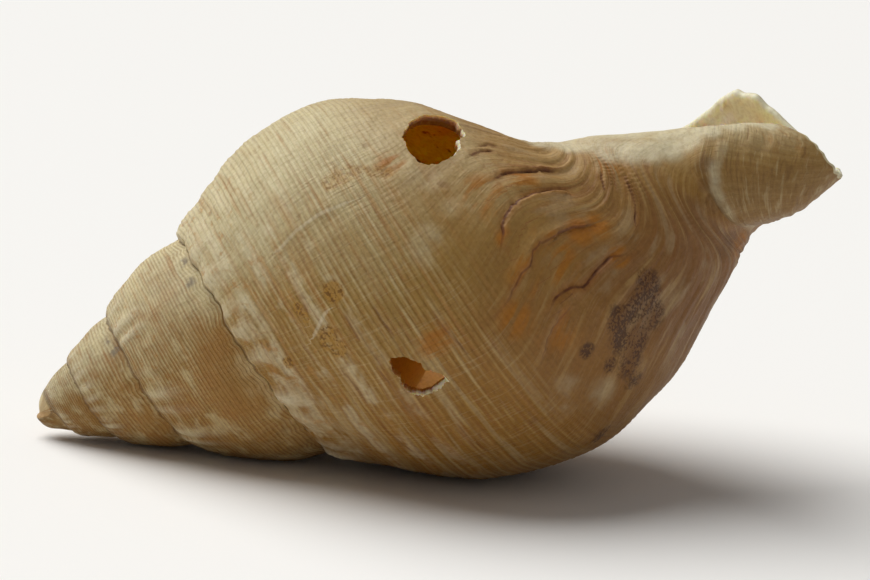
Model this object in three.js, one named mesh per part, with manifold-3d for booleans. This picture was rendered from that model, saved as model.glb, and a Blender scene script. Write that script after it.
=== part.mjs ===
// Shell of a large sea snail (a whelk), worn and holed, lying on its back with the mouth up.
// One grown piece: spire, body whorl, siphonal canal, outer lip and inner lip are one solid.
//
// The surface is a helico-spiral. A profile curve (distance R from the coiling axis, distance Z
// along it) turns about the axis and grows with every turn. The parameter t runs along the profile:
// t = 0 at the suture, t = 1 at the old canal, and up to 1.6 at the rim of the present canal.
// The shape is worked out in shell units (axis = X, apex to canal; angle 0 = Y, 90 degrees = Z)
// and is then scaled to millimetres and laid down on the floor plane.
import * as THREE from 'three';
import Module from 'manifold-3d';

// ---------------------------------------------------------------- driving dimensions
const MM_PER_UNIT = 0.105;          // size of one shell unit: 846 units of length = 88.8 mm
const WHORLS = 4.5;                 // turns that are left, the tip is worn away
const LIP_DEG = 276;                // angle of the outer lip about the axis
const GROWTH_R = 0.08187, GROWTH_R2 = 0.0000884;   // growth of the radius per radian
const GROWTH_H2 = 0.0009646;                        // extra stretch of the spire
const AXIS_OFFSET = 72.70;          // where the spiral would end, ahead of the worn apex
const LAST_SLOWING = 0.35;          // the last quarter turn grows less
const WALL = 13.0;                  // wall of the body whorl, units
const GLAZE = 4.0;                  // layer laid on the whorl before, inside
const LIP_ROUND = 6.0;              // half thickness of the lip
const FLOOR_TRIM = 1.5;             // worn flat where the shell lies, units
const STEPS_PER_TURN = 30, STEPS_UPPER = 5, STEPS_LOWER = 10;
const RIM_ROWS = 2, THROAT_ROWS = 4, CAVITY_STEP_DEG = 24, CAVITY_END_DEG = -420;
const THROAT_DEG = 30;              // how far behind the lip the regular cavity starts
const APEX = [1.5, 4.0, 0.0];

const PROFILE_R = [142.677, 165.449, 219.039, 236.927, 238.648, 217.01, 188.863, 143.417, 106.066, 82.245, 67.658];
const PROFILE_Z = [353.594, 374.876, 458.754, 521.324, 591.438, 651.252, 698.447, 746.135, 782.393, 831.207, 893.861];

// centre line of the canal, which bends off the coiling axis
const BEND_X = [500, 600, 640, 700, 740, 790, 842, 900];
const BEND_YZ = [[0, 0], [0, 0], [-1.5, -1], [-10, -5], [-24, -12], [-44, -22], [-61, -32], [-78, -40]];

// base, neck, fasciole ridge and canal of the last whorl: at each angle the points t = 0.6 ... 1.6
// as [distance along the axis, radius about the bent centre line]; null = the plain spiral
const N = null;
const BASE_DEG = [-84, -42, 0, 22, 45, 90, 135, 180, 228, 276, 325];
const BASE = [
  [N, N, N, [497, 56.4], [507, 53.5], [515, 51.5], [522, 50], [528, 49], [534, 48.3], [540, 47.6], [546, 47]],
  [N, N, N, [531, 60], [548, 55], [563, 51], [576, 49], [588, 47.5], [600, 46.5], [612, 45.5], [625, 45]],
  [N, N, N, [572, 63.5], [604, 56.5], [632, 50], [656, 44], [678, 40], [698, 38], [716, 38], [733, 40]],
  [N, N, N, [590, 66], [630, 57], [672, 46], [705, 42], [730, 43], [752, 46], [770, 48], [787, 48]],
  [N, N, N, [613, 68], [655, 56], [697, 47], [722, 56], [740, 59], [762, 58], [785, 56], [812, 52]],
  [N, N, [615, 93], [655, 72], [682, 61], [700, 57], [716, 68], [737, 67], [762, 64], [792, 58], [832, 44]],
  [N, N, [662, 99], [690, 82], [706, 75], [716, 72], [727, 76], [746, 72], [768, 65], [797, 54], [838, 30]],
  [[626, 190], [672, 146], [703, 111], [721, 87], [732, 74], [740, 66], [752, 64], [768, 60], [789, 52], [813, 38], [842, 17]],
  [[654, 198], [694, 162], [722, 132], [739, 112], [751, 98], [762, 88], [773, 81], [785, 73], [798, 64], [814, 52], [838, 30]],
  [[692, 212], [728, 183], [753, 158], [770, 138], [781, 122], [789, 109], [796, 98], [802, 87], [808, 75], [816, 62], [828, 44]],
  [[697, 214], [733, 184], [758, 158], [775, 138], [786, 122], [794, 110], [800, 99], [805, 89], [810, 79], [815, 70], [820, 62]],
];
// angle of the outer lip along its edge, t = 0 ... 1.6
const LIP_ANGLE = [276, 276.5, 277, 277.5, 278, 277.5, 276.5, 281, 289, 298.5, 307, 312, 315, 314, 312, 308, 298];

// two holes broken through the wall of the body whorl: outline on the outer surface, and its outward normal
const HOLES = [
  { normal: [0.513, 0.712, 0.480],
    outline: [[464.8, 131.3, 121.1], [474.0, 135.2, 105.0], [485.4, 134.2, 90.6], [498.1, 127.7, 82.0], [507.5, 119.8, 83.5],
      [511.7, 111.4, 97.7], [504.3, 104.1, 123.0], [492.2, 92.8, 147.6], [477.9, 92.0, 158.0], [468.2, 95.1, 161.2], [460.0, 116.9, 144.5]] },
  { normal: [-0.186, -0.341, 0.921],
    outline: [[371.2, -62.8, 198.9], [376.3, -60.6, 200.7], [389.0, -66.6, 201.5], [398.3, -82.9, 198.0], [412.6, -99.4, 193.5],
      [405.8, -100.9, 191.9], [387.5, -103.4, 187.4], [379.2, -99.0, 187.5], [375.1, -82.3, 193.6], [370.3, -69.8, 196.5]] },
];
const HOLE_ABOVE = 12, HOLE_DEPTH = 26;   // reach of the cut above and below the outer surface, units

// floor plane: downward direction in shell axes
const DOWN = [-0.4510, -0.8883, -0.0870];

// ---------------------------------------------------------------- small maths
const PI = Math.PI, rad = (d) => d * PI / 180;
const clamp = (x, a, b) => Math.min(b, Math.max(a, x));
const add = (a, b) => a.map((v, i) => v + b[i]);
const sub = (a, b) => a.map((v, i) => v - b[i]);
const mul = (a, s) => a.map((v) => v * s);
const dot = (a, b) => a.reduce((s, v, i) => s + v * b[i], 0);
const len = (a) => Math.sqrt(dot(a, a));
const unit = (a) => mul(a, 1 / Math.max(len(a), 1e-9));
const cross = (a, b) => [a[1] * b[2] - a[2] * b[1], a[2] * b[0] - a[0] * b[2], a[0] * b[1] - a[1] * b[0]];
const lin = (x, xs, ys) => {
  if (x <= xs[0]) return ys[0];
  for (let i = 1; i < xs.length; i++) if (x <= xs[i]) return ys[i - 1] + (ys[i] - ys[i - 1]) * (x - xs[i - 1]) / (xs[i] - xs[i - 1]);
  return ys[ys.length - 1];
};
// cubic Hermite curve through points ys (arrays) at xs
function curve(xs, ys) {
  const n = xs.length, h = [], d = [], m = [];
  for (let i = 0; i < n - 1; i++) { h.push(xs[i + 1] - xs[i]); d.push(mul(sub(ys[i + 1], ys[i]), 1 / h[i])); }
  for (let i = 1; i < n - 1; i++) m[i] = mul(add(mul(d[i - 1], h[i]), mul(d[i], h[i - 1])), 1 / (h[i] + h[i - 1]));
  m[0] = sub(mul(d[0], 1.5), mul(m[1], 0.5));
  m[n - 1] = sub(mul(d[n - 2], 1.5), mul(m[n - 2], 0.5));
  return (x) => {
    let i = 0;
    while (i < n - 2 && x >= xs[i + 1]) i++;
    const s = (x - xs[i]) / h[i], s2 = s * s, s3 = s2 * s;
    return ys[i].map((_, k) => (2 * s3 - 3 * s2 + 1) * ys[i][k] + (s3 - 2 * s2 + s) * h[i] * m[i][k]
      + (-2 * s3 + 3 * s2) * ys[i + 1][k] + (s3 - s2) * h[i] * m[i + 1][k]);
  };
}

// ---------------------------------------------------------------- the spiral
const LIP = rad(LIP_DEG);
const profile = curve(PROFILE_R.map((_, i) => i / 10), PROFILE_R.map((r, i) => [r, PROFILE_Z[i]]));
const ueff = (phi) => { const u = phi - PI; return u > 0 ? u * (1 - LAST_SLOWING * clamp(u / 1.68, 0, 1)) : u; };
const growR = (phi) => { const u = ueff(phi); return Math.exp(GROWTH_R * u + GROWTH_R2 * u * u); };
const growH = (phi) => { const u = ueff(phi); return Math.exp(GROWTH_R * u + GROWTH_H2 * u * u); };
const spiral = (phi, t) => { const p = profile(t); return [growH(phi) * p[1] - AXIS_OFFSET, growR(phi) * p[0]]; };
const bend = curve(BEND_X, BEND_YZ);
const place = (x, r, a) => { const c = bend(clamp(x, 500, 900)); return [x, c[0] + r * Math.cos(a), c[1] + r * Math.sin(a)]; };
const baseCurves = [];
for (let b = 0; b < 11; b++) {
  baseCurves.push(curve(BASE_DEG.map(rad), BASE_DEG.map((d, a) => BASE[a][b] || spiral(rad(d), 0.6 + 0.1 * b))));
}
const TST = [...Array(17).keys()].map((i) => i / 10);
const lipAngleCurve = curve(TST, LIP_ANGLE.map((a) => [rad(a)]));
const lastCache = new Map();
function last(phi) {
  if (!lastCache.has(phi)) {
    const st = [];
    for (let j = 0; j < 6; j++) st.push(spiral(phi, j / 10));
    for (let b = 0; b < 11; b++) st.push(baseCurves[b](phi));
    lastCache.set(phi, curve(TST, st));
  }
  return lastCache.get(phi);
}
const outline = (phi) => (phi >= LIP - 2 * PI - 1e-9 ? last(phi) : (t) => spiral(phi, t));
const sutureCache = new Map();
// where on the whorl before (one turn back) the suture of angle phi lies
function suture(phi) {
  if (!sutureCache.has(phi)) {
    const o = spiral(phi, 0); let best = 1e9, bt = 0.4;
    for (let i = 0; i <= 400; i++) {
      const t = 0.1 + 0.4 * i / 400, p = spiral(phi - 2 * PI, t), d = Math.hypot(p[0] - o[0], p[1] - o[1]);
      if (d < best) { best = d; bt = t; }
    }
    sutureCache.set(phi, bt);
  }
  return sutureCache.get(phi);
}
const offset = (f, t, w) => {
  const e = 2e-3, a = f(t - e), b = f(t + e), T = unit(sub(b, a)), p = f(t);
  return [p[0] + w * T[1], p[1] - w * T[0]];   // towards the axis for w > 0
};
const bezier = (a, b, c, d, s) => a.map((_, i) => (1 - s) ** 3 * a[i] + 3 * (1 - s) ** 2 * s * b[i] + 3 * (1 - s) * s * s * c[i] + s ** 3 * d[i]);

// section of the hollow at angle phi. k: 0-1 outer wall, 1-2 canal end, 2-3 columella, 3-4 whorl before
function section(phi, k) {
  const S = growR(phi), w = Math.min(WALL * S, WALL), g = GLAZE * S, deg = phi * 180 / PI;
  const f = outline(phi), fp = (t) => spiral(phi - 2 * PI, t), te = 0.85, ts = suture(phi) + 0.055;
  const A0 = offset(f, te - 0.02, w), A = offset(f, te, w), Ta = unit(sub(A, A0));
  const near = clamp((deg - 180) / 66, 0, 1.3);
  const B = [growH(phi) * (815 - 26 * near) - AXIS_OFFSET, 34 * S * (1 - 0.15 * clamp((deg - 150) / 90, 0, 1))];
  const D = offset(fp, 1.0, -g), Td = unit(sub(D, offset(fp, 0.98, -g)));
  let p;
  if (k < 1) p = offset(f, 0.10 + (te - 0.10) * k, w);
  else if (k < 2) {
    const L = 0.75 * len(sub(A, B));
    p = bezier(A, add(A, mul(Ta, L * 0.85)), add(B, [L * (0.9 + 0.12 * clamp((deg - 180) / 66, 0, 1)), 0]), B, k - 1);
  } else if (k < 3) {
    const L = 0.35 * len(sub(B, D));
    p = bezier(B, sub(B, [L, 0]), add(D, mul(Td, L)), D, k - 2);
  } else p = offset(fp, 1.0 + (ts - 1.0) * (k - 3), -g);
  return place(p[0], p[1], phi);
}

// ---------------------------------------------------------------- outer surface
const NT = STEPS_PER_TURN, M4 = STEPS_UPPER, M6 = STEPS_LOWER, M = M4 + M6;
const iL = Math.round(WHORLS * NT), iF = iL - NT;       // lip, and one turn before it
const V = [], F = [];
const phis = [], sut = [], pos = [], tv = [], av = [], idx = [];
for (let i = 0; i <= iL; i++) { phis.push(LIP - 2 * PI * (iL - i) / NT); sut.push(suture(phis[i])); }
for (let i = 0; i <= iL; i++) {
  const ph = phis[i], tend = i + NT <= iL ? sut[i + NT] : sut[iL] + (sut[iL] - sut[iL - 1]) * (i + NT - iL) * 0.6;
  const t = [];
  for (let j = 0; j <= M4; j++) t.push(tend * j / M4);
  if (i >= iF) for (let j = 1; j <= M6; j++) t.push(tend + (1.6 - tend) * j / M6);
  const al = t.map((tt) => {
    const a0 = rad(236);
    return i >= iF && ph > a0 ? a0 + (ph - a0) * (lipAngleCurve(tt)[0] - a0) / (LIP - a0) : ph;
  });
  const P = t.map((tt, j) => { const o = i < iF ? spiral(ph, tt) : last(al[j])(tt); return place(o[0], o[1], al[j]); });
  if (i >= NT) {
    const d = sub(pos[i - NT][M4], P[0]);
    for (let j = 0; j < P.length; j++) P[j] = add(P[j], mul(d, clamp(1 - t[j] / 0.15, 0, 1) ** 2));
  }
  pos.push(P); tv.push(t); av.push(al);
}
for (let i = 0; i <= iL; i++) {
  idx.push([]);
  for (let j = 0; j < pos[i].length; j++) {
    if (j === 0 && i >= NT) { idx[i][0] = idx[i - NT][M4]; continue; }
    idx[i][j] = V.length; V.push(pos[i][j]);
  }
}
for (let i = 0; i < iL; i++) for (let j = 0; j < (i >= iF ? M : M4); j++) F.push([idx[i][j], idx[i + 1][j], idx[i + 1][j + 1], idx[i][j + 1]]);

// ---------------------------------------------------------------- edge of the mouth
const loop = [];   // {v, p, g (leaving the outside), n (outward), th (turn in degrees), ro, k}
const normalAt = (i, j) => {
  const i0 = Math.max(i - 1, iF), i1 = Math.min(i + 1, iL), j0 = Math.max(j - 1, 0), j1 = Math.min(j + 1, M);
  return unit(cross(sub(pos[i1][j], pos[i0][j]), sub(pos[i][j1], pos[i][j0])));
};
for (let j = 0; j <= M; j++) {                    // outer lip
  const t = tv[iL][j];
  loop.push({ v: idx[iL][j], p: pos[iL][j], g: unit(sub(pos[iL][j], pos[iL - 1][j])), n: normalAt(iL, j), th: 180,
    ro: LIP_ROUND * clamp(t / 0.35, 0.02, 1) * lin(t, [0.9, 1.2, 1.6], [1, 0.7, 0.6]), k: t < 1.2 ? t / 1.2 : 1 + (t - 1.2) / 0.4 * 0.35 });
}
const a0d = av[iL][M] * 180 / PI;
for (let i = iL - 1; i >= iF; i--) {              // canal rim and inner lip
  const al = av[i][M], d = al * 180 / PI, gt = unit(sub(pos[i][M], pos[i][M - 1])), gp = [0, Math.sin(al), -Math.cos(al)];
  let b = clamp((50 - d) / 35, 0, 1); b = b * b * (3 - 2 * b);
  loop.push({ v: idx[i][M], p: pos[i][M], g: unit(add(mul(gt, 1 - b), mul(gp, b))), n: normalAt(i, M),
    th: lin(d, [-84, -42, 0, 22, 50, 60], [0, 45, 85, 110, 165, 180]),
    ro: LIP_ROUND * lin(d, [-84, -42, 0, 50, 200, 300], [0.5, 0.8, 1, 1, 0.8, 0.6]),
    k: d > 60 ? 1.35 + 0.65 * (a0d - d) / (a0d - 60) : 2 + (60 - d) / 144 });
}
for (let j = M - 1; j > M4; j--) {                // side of the whorl before
  loop.push({ v: idx[iF][j], p: pos[iF][j], g: unit(sub(pos[iF][j], pos[iF + 1][j])), n: normalAt(iF, j), th: 0, ro: LIP_ROUND * 0.5,
    k: 3 + (1.6 - tv[iF][j]) / (1.6 - tv[iF][M4]) });
}
const K = loop.length;
loop[0].th = 0; loop[0].ro = 1.5; loop[0].g = mul(loop[0].g, -1);
const cornerSpan = Math.floor(M / 8);
for (let pass = 0; pass < Math.max(2, Math.floor(M / 6)); pass++) {
  for (const key of ['g', 'n']) {
    const old = loop.map((q) => q[key]);
    for (let i = Math.max(1, M - 3 - cornerSpan); i < M + 4 + cornerSpan; i++) {
      loop[i][key] = unit(add(add(mul(old[i - 1], 0.25), mul(old[i], 0.5)), mul(old[i + 1], 0.25)));
    }
  }
}
for (const q of loop) { q.g = unit(sub(q.g, mul(q.n, dot(q.g, q.n)))); q.th = rad(q.th); }
const rimPoint = (q, f) => {
  const th = q.th * f, flat = q.th < 1.6 ? (1 - Math.sin(q.th)) * Math.max(0, Math.cos(q.th)) * f : 0;
  return add(q.p, mul(sub(mul(q.g, Math.sin(th) + flat), mul(q.n, 1 - Math.cos(th))), q.ro));
};
const u1 = sub(rimPoint(loop[1], 1), loop[0].p), u2 = sub(rimPoint(loop[K - 1], 1), loop[0].p);
const corner = add(mul(add(u1, mul(u2, len(u1) / len(u2))), 0.5), mul(loop[0].g, 1.5));
let row = loop.map((q) => q.v);
function addRow(points) {
  const base = V.length; points.forEach((p) => V.push(p));
  for (let k = 0; k < K; k++) { const k2 = (k + 1) % K; F.push([row[k], base + k, base + k2, row[k2]]); }
  row = points.map((_, k) => base + k);
}
let inner;
for (let a = 1; a <= RIM_ROWS; a++) {
  inner = loop.map((q, k) => (k === 0 ? add(q.p, mul(corner, a / RIM_ROWS)) : rimPoint(q, a / RIM_ROWS)));
  addRow(inner);
}
const phs = LIP - rad(THROAT_DEG);
const q0 = loop.map((q) => section(phs, q.k)), q1 = loop.map((q) => section(phs - 0.05, q.k));
for (let b = 1; b <= THROAT_ROWS; b++) {
  const s = b / THROAT_ROWS, s2 = s * s, s3 = s2 * s;
  addRow(loop.map((q, k) => {
    const L = len(sub(q0[k], inner[k])), D = sub(mul(q.g, Math.cos(q.th) * L), mul(q.n, Math.sin(q.th) * L)), T = mul(unit(sub(q1[k], q0[k])), L);
    return inner[k].map((_, c) => (2 * s3 - 3 * s2 + 1) * inner[k][c] + (s3 - 2 * s2 + s) * D[c] + (-2 * s3 + 3 * s2) * q0[k][c] + (s3 - s2) * T[c]);
  }));
}
let ph = phs;
while (ph > rad(CAVITY_END_DEG)) { ph -= rad(CAVITY_STEP_DEG); addRow(loop.map((q) => section(ph, q.k))); }
const endPoint = mul(add(section(ph, 0.45), section(ph, 3.45)), 0.5);
V.push(endPoint);
for (let k = 0; k < K; k++) F.push([row[k], V.length - 1, row[(k + 1) % K]]);

// ---------------------------------------------------------------- worn, rounded tip
const tip = [];
for (let i = 0; i < NT; i++) tip.push(idx[i][0]);
for (let j = M4; j > 0; j--) tip.push(idx[0][j]);
const tipPts = tip.map((k) => V[k]), tipMid = mul(tipPts.reduce(add), 1 / tipPts.length);
let prev = tip;
for (const s of [0.34, 0.64, 0.88]) {
  const base = V.length, c = Math.cos(s * PI / 2), e = Math.sin(s * PI / 2);
  tipPts.forEach((p) => V.push(add(add(tipMid, mul(sub(p, tipMid), c)), mul(sub(APEX, tipMid), e))));
  for (let k = 0; k < tip.length; k++) { const k2 = (k + 1) % tip.length; F.push([prev[k2], prev[k], base + k, base + k2]); }
  prev = tip.map((_, k) => base + k);
}
V.push(APEX.slice());
for (let k = 0; k < tip.length; k++) F.push([prev[(k + 1) % tip.length], prev[k], V.length - 1]);

// ---------------------------------------------------------------- lay it on the floor, in millimetres
const up = unit(mul(DOWN, -1)), ex = unit(sub([1, 0, 0], mul(up, up[0]))), ey = cross(up, ex);
const turn = (p) => [dot(p, ex), dot(p, ey), dot(p, up)];
let W = V.map(turn);
const lo = [0, 1, 2].map((c) => Math.min(...W.map((p) => p[c]))), hi = [0, 1, 2].map((c) => Math.max(...W.map((p) => p[c])));
const origin = [(lo[0] + hi[0]) / 2, (lo[1] + hi[1]) / 2, lo[2] + FLOOR_TRIM];
W = W.map((p) => mul(sub(p, origin), MM_PER_UNIT));
const toWorld = (p) => mul(sub(turn(p), origin), MM_PER_UNIT);

const tris = [];
for (const f of F) {
  if (f.length === 3) { tris.push(f); continue; }
  const [a, b, c, d] = f;
  const set = len(sub(V[a], V[c])) <= len(sub(V[b], V[d])) ? [[a, b, c], [a, c, d]] : [[a, b, d], [b, c, d]];
  for (const t of set) if (new Set(t).size === 3) tris.push(t);
}

// ---------------------------------------------------------------- solid: cut the floor flat and the holes
const wasm = await Module();
wasm.setup();
function solid(points, triangles) {
  return new wasm.Manifold(new wasm.Mesh({ numProp: 3, vertProperties: new Float32Array(points.flat()), triVerts: new Uint32Array(triangles.flat()) }));
}
// closed prism through the wall: the outline moved out and in along the normal
function prism(hole) {
  const n = unit(hole.normal), o = hole.outline.slice(), mid = mul(o.reduce(add), 1 / o.length);
  let area = 0;
  for (let k = 0; k < o.length; k++) area += dot(cross(sub(o[k], mid), sub(o[(k + 1) % o.length], mid)), n);
  if (area < 0) o.reverse();
  const c = o.length, flat = o.map((p) => sub(p, mul(n, dot(sub(p, mid), n))));
  const pts = [...flat.map((p) => add(p, mul(n, HOLE_ABOVE))), ...flat.map((p) => sub(p, mul(n, HOLE_DEPTH))),
    add(mid, mul(n, HOLE_ABOVE)), sub(mid, mul(n, HOLE_DEPTH))].map(toWorld), t = [];
  for (let k = 0; k < c; k++) {
    const k2 = (k + 1) % c;
    t.push([2 * c, k, k2], [2 * c + 1, c + k2, c + k], [k, c + k, c + k2], [k, c + k2, k2]);
  }
  return solid(pts, t);
}
let shell = solid(W, tris);
const floorBox = new THREE.BoxGeometry(200, 200, 20);
floorBox.translate(0, 0, -10);
const fb = [], fp = floorBox.attributes.position, key = new Map(), remap = [];
for (let i = 0; i < fp.count; i++) {
  const s = [fp.getX(i), fp.getY(i), fp.getZ(i)], kk = s.join(',');
  if (!key.has(kk)) { key.set(kk, fb.length); fb.push(s); }
  remap.push(key.get(kk));
}
const bi = floorBox.index.array, bt = [];
for (let i = 0; i < bi.length; i += 3) bt.push([remap[bi[i]], remap[bi[i + 1]], remap[bi[i + 2]]]);
shell = shell.subtract(solid(fb, bt));
for (const hole of HOLES) shell = shell.subtract(prism(hole));

const mesh = shell.getMesh();
const geometry = new THREE.BufferGeometry();
geometry.setAttribute('position', new THREE.BufferAttribute(new Float32Array(mesh.vertProperties), 3));
geometry.setIndex(new THREE.BufferAttribute(new Uint32Array(mesh.triVerts), 1));
geometry.computeVertexNormals();
const material = new THREE.MeshStandardMaterial({ color: 0xb39a72, roughness: 0.72, metalness: 0 });
const shellMesh = new THREE.Mesh(geometry, material);
shellMesh.name = 'shell';
const group = new THREE.Group();
group.name = 'sea_snail_shell';
group.add(shellMesh);
export default group;
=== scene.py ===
"""Worn, holed shell of a large sea snail, lying on a pale floor.

The outside is a fine helico-spiral surface with its spiral cords, growth lines, shoulder nodules,
scars, pits and broken holes as geometry; the same surface coordinates drive the colours.
Shell units: 1 unit = 0.105 mm, axis = X (tip to canal), angle 0 = Y, 90 degrees = Z.
"""
import math

import bpy
import numpy as np
from mathutils import Matrix, Vector

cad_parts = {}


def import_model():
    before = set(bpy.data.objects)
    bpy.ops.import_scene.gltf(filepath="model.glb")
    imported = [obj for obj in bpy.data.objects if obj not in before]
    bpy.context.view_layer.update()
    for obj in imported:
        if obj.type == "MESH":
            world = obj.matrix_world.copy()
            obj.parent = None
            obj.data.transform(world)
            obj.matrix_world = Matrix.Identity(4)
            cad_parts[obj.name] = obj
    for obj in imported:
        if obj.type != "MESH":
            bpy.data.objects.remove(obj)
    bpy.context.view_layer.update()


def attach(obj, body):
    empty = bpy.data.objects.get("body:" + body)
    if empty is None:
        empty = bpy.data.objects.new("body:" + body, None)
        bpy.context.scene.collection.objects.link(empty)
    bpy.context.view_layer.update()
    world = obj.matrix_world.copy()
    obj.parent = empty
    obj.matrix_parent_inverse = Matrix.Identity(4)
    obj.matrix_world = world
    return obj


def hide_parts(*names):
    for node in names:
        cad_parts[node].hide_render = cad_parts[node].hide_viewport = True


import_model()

PI = math.pi
UNIT = 0.105e-3

# ------------------------------------------------------------------ the CAD solid's spiral
LIP = math.radians(276)
PROFILE_R = np.array([142.677, 165.449, 219.039, 236.927, 238.648, 217.01, 188.863, 143.417, 106.066, 82.245, 67.658])
PROFILE_Z = np.array([353.594, 374.876, 458.754, 521.324, 591.438, 651.252, 698.447, 746.135, 782.393, 831.207, 893.861])
BEND_X = [500, 600, 640, 700, 740, 790, 842, 900]
BEND_YZ = np.array([[0, 0], [0, 0], [-1.5, -1], [-10, -5], [-24, -12], [-44, -22], [-61, -32], [-78, -40]], float)
BASE_DEG = [-84, -42, 0, 22, 45, 90, 135, 180, 228, 276, 325]
N_ = None
BASE = [
    [N_, N_, N_, (497, 56.4), (507, 53.5), (515, 51.5), (522, 50), (528, 49), (534, 48.3), (540, 47.6), (546, 47)],
    [N_, N_, N_, (531, 60), (548, 55), (563, 51), (576, 49), (588, 47.5), (600, 46.5), (612, 45.5), (625, 45)],
    [N_, N_, N_, (572, 63.5), (604, 56.5), (632, 50), (656, 44), (678, 40), (698, 38), (716, 38), (733, 40)],
    [N_, N_, N_, (590, 66), (630, 57), (672, 46), (705, 42), (730, 43), (752, 46), (770, 48), (787, 48)],
    [N_, N_, N_, (613, 68), (655, 56), (697, 47), (722, 56), (740, 59), (762, 58), (785, 56), (812, 52)],
    [N_, N_, (615, 93), (655, 72), (682, 61), (700, 57), (716, 68), (737, 67), (762, 64), (792, 58), (832, 44)],
    [N_, N_, (662, 99), (690, 82), (706, 75), (716, 72), (727, 76), (746, 72), (768, 65), (797, 54), (838, 30)],
    [(626, 190), (672, 146), (703, 111), (721, 87), (732, 74), (740, 66), (752, 64), (768, 60), (789, 52), (813, 38), (842, 17)],
    [(654, 198), (694, 162), (722, 132), (739, 112), (751, 98), (762, 88), (773, 81), (785, 73), (798, 64), (814, 52), (838, 30)],
    [(692, 212), (728, 183), (753, 158), (770, 138), (781, 122), (789, 109), (796, 98), (802, 87), (808, 75), (816, 62), (828, 44)],
    [(697, 214), (733, 184), (758, 158), (775, 138), (786, 122), (794, 110), (800, 99), (805, 89), (810, 79), (815, 70), (820, 62)],
]
LIP_ANGLE = [276, 276.5, 277, 277.5, 278, 277.5, 276.5, 281, 289, 298.5, 307, 312, 315, 314, 312, 308, 298]
WALL, GLAZE, LIP_ROUND = 13.0, 4.0, 6.0
DOWN = np.array([-0.4510, -0.8883, -0.0870])
APEX = np.array([1.5, 4.0, 0.0])

# ------------------------------------------------------------------ fineness of the visual mesh
CORDS_A, CORDS_B = 32, 24                       # spiral cords above and below the next suture line
TURN = 400                                      # finest columns in a turn
LEVEL_COLS = [2, 2, 4, 8, 8]                    # column stride of each whorl, last one first
LEVEL_ROWS = [1, 2, 4, 4, 4]                    # row stride in the upper part
ROWS_C, ROWS_D = 56, 42
WHORLS = 4.5


def hermite_curve(xs, ys, x):
    xs, ys, x = np.asarray(xs, float), np.asarray(ys, float), np.asarray(x, float)
    h = np.diff(xs)
    hh = h.reshape((-1,) + (1,) * (ys.ndim - 1))
    d = np.diff(ys, axis=0) / hh
    m = np.empty_like(ys)
    m[1:-1] = (d[:-1] * hh[1:] + d[1:] * hh[:-1]) / (hh[1:] + hh[:-1])
    m[0] = d[0] * 1.5 - m[1] * 0.5
    m[-1] = d[-1] * 1.5 - m[-2] * 0.5
    i = np.clip(np.searchsorted(xs, x, side="right") - 1, 0, len(xs) - 2)
    e = (...,) + (None,) * (ys.ndim - 1)
    s, hi = ((x - xs[i]) / h[i])[e], h[i][e]
    s2, s3 = s * s, s * s * s
    return (2 * s3 - 3 * s2 + 1) * ys[i] + (s3 - 2 * s2 + s) * hi * m[i] + (-2 * s3 + 3 * s2) * ys[i + 1] + (s3 - s2) * hi * m[i + 1]


TG = np.linspace(0, 1, 11)
TST = np.round(np.arange(0, 1.65, 0.1), 1)


def ueff(phi):
    u = np.asarray(phi, float) - PI
    return np.where(u > 0, u * (1 - 0.35 * np.clip(u / 1.68, 0, 1)), u)


def grow_r(phi):
    u = ueff(phi)
    return np.exp(0.08187 * u + 0.0000884 * u * u)


def grow_h(phi):
    u = ueff(phi)
    return np.exp(0.08187 * u + 0.0009646 * u * u)


def spiral(phi, t):
    rz = hermite_curve(TG, np.stack([PROFILE_R, PROFILE_Z], 1), t)
    return grow_h(phi) * rz[..., 1] - 72.70, grow_r(phi) * rz[..., 0]


def place(X, r, alpha):
    c = hermite_curve(BEND_X, BEND_YZ, np.clip(X, 500, 900))
    return np.stack([X, c[..., 0] + r * np.cos(alpha), c[..., 1] + r * np.sin(alpha)], -1)


def base_net():
    net = np.zeros((len(BASE_DEG), 11, 2))
    for a, deg in enumerate(BASE_DEG):
        for b in range(11):
            v = BASE[a][b]
            if v is None:
                v = [float(q) for q in spiral(math.radians(deg), np.array(0.6 + 0.1 * b))]
            net[a, b] = v
    return net


NET = base_net()


def last_whorl(alpha, t):
    """alpha (n,), t (n, m) -> (n, m, 2) as X and radius"""
    alpha = np.asarray(alpha, float)
    n = len(alpha)
    st = np.zeros((n, 17, 2))
    for j in range(6):
        st[:, j, 0], st[:, j, 1] = spiral(alpha, np.full(n, TST[j]))
    st[:, 6:] = hermite_curve(np.radians(BASE_DEG), NET, alpha)
    d = np.diff(st, axis=1) / 0.1
    m = np.empty_like(st)
    m[:, 1:-1] = (d[:, :-1] + d[:, 1:]) / 2
    m[:, 0] = d[:, 0] * 1.5 - m[:, 1] * 0.5
    m[:, -1] = d[:, -1] * 1.5 - m[:, -2] * 0.5
    i = np.clip(np.floor(t / 0.1 + 1e-9).astype(int), 0, 15)
    s = (t - i * 0.1)[..., None] / 0.1
    k = np.arange(n)[:, None]
    s2, s3 = s * s, s * s * s
    return (2 * s3 - 3 * s2 + 1) * st[k, i] + (s3 - 2 * s2 + s) * 0.1 * m[k, i] + (-2 * s3 + 3 * s2) * st[k, i + 1] + (s3 - s2) * 0.1 * m[k, i + 1]


def lip_angle(t):
    return np.radians(hermite_curve(TST, np.array(LIP_ANGLE, float), t))


def suture_exact(phi):
    tt = np.linspace(0.05, 0.55, 20001)
    x0, r0 = spiral(phi, np.array(0.0))
    x1, r1 = spiral(phi - 2 * PI, tt)
    return tt[np.hypot(x1 - x0, r1 - r0).argmin()]


SUT_PHI = np.concatenate([np.arange(LIP - 4.6 * 2 * PI, math.radians(150), math.radians(22)), np.radians(np.arange(156, 300, 8.0))])
SUT_T = np.array([suture_exact(p) for p in SUT_PHI])


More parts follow.
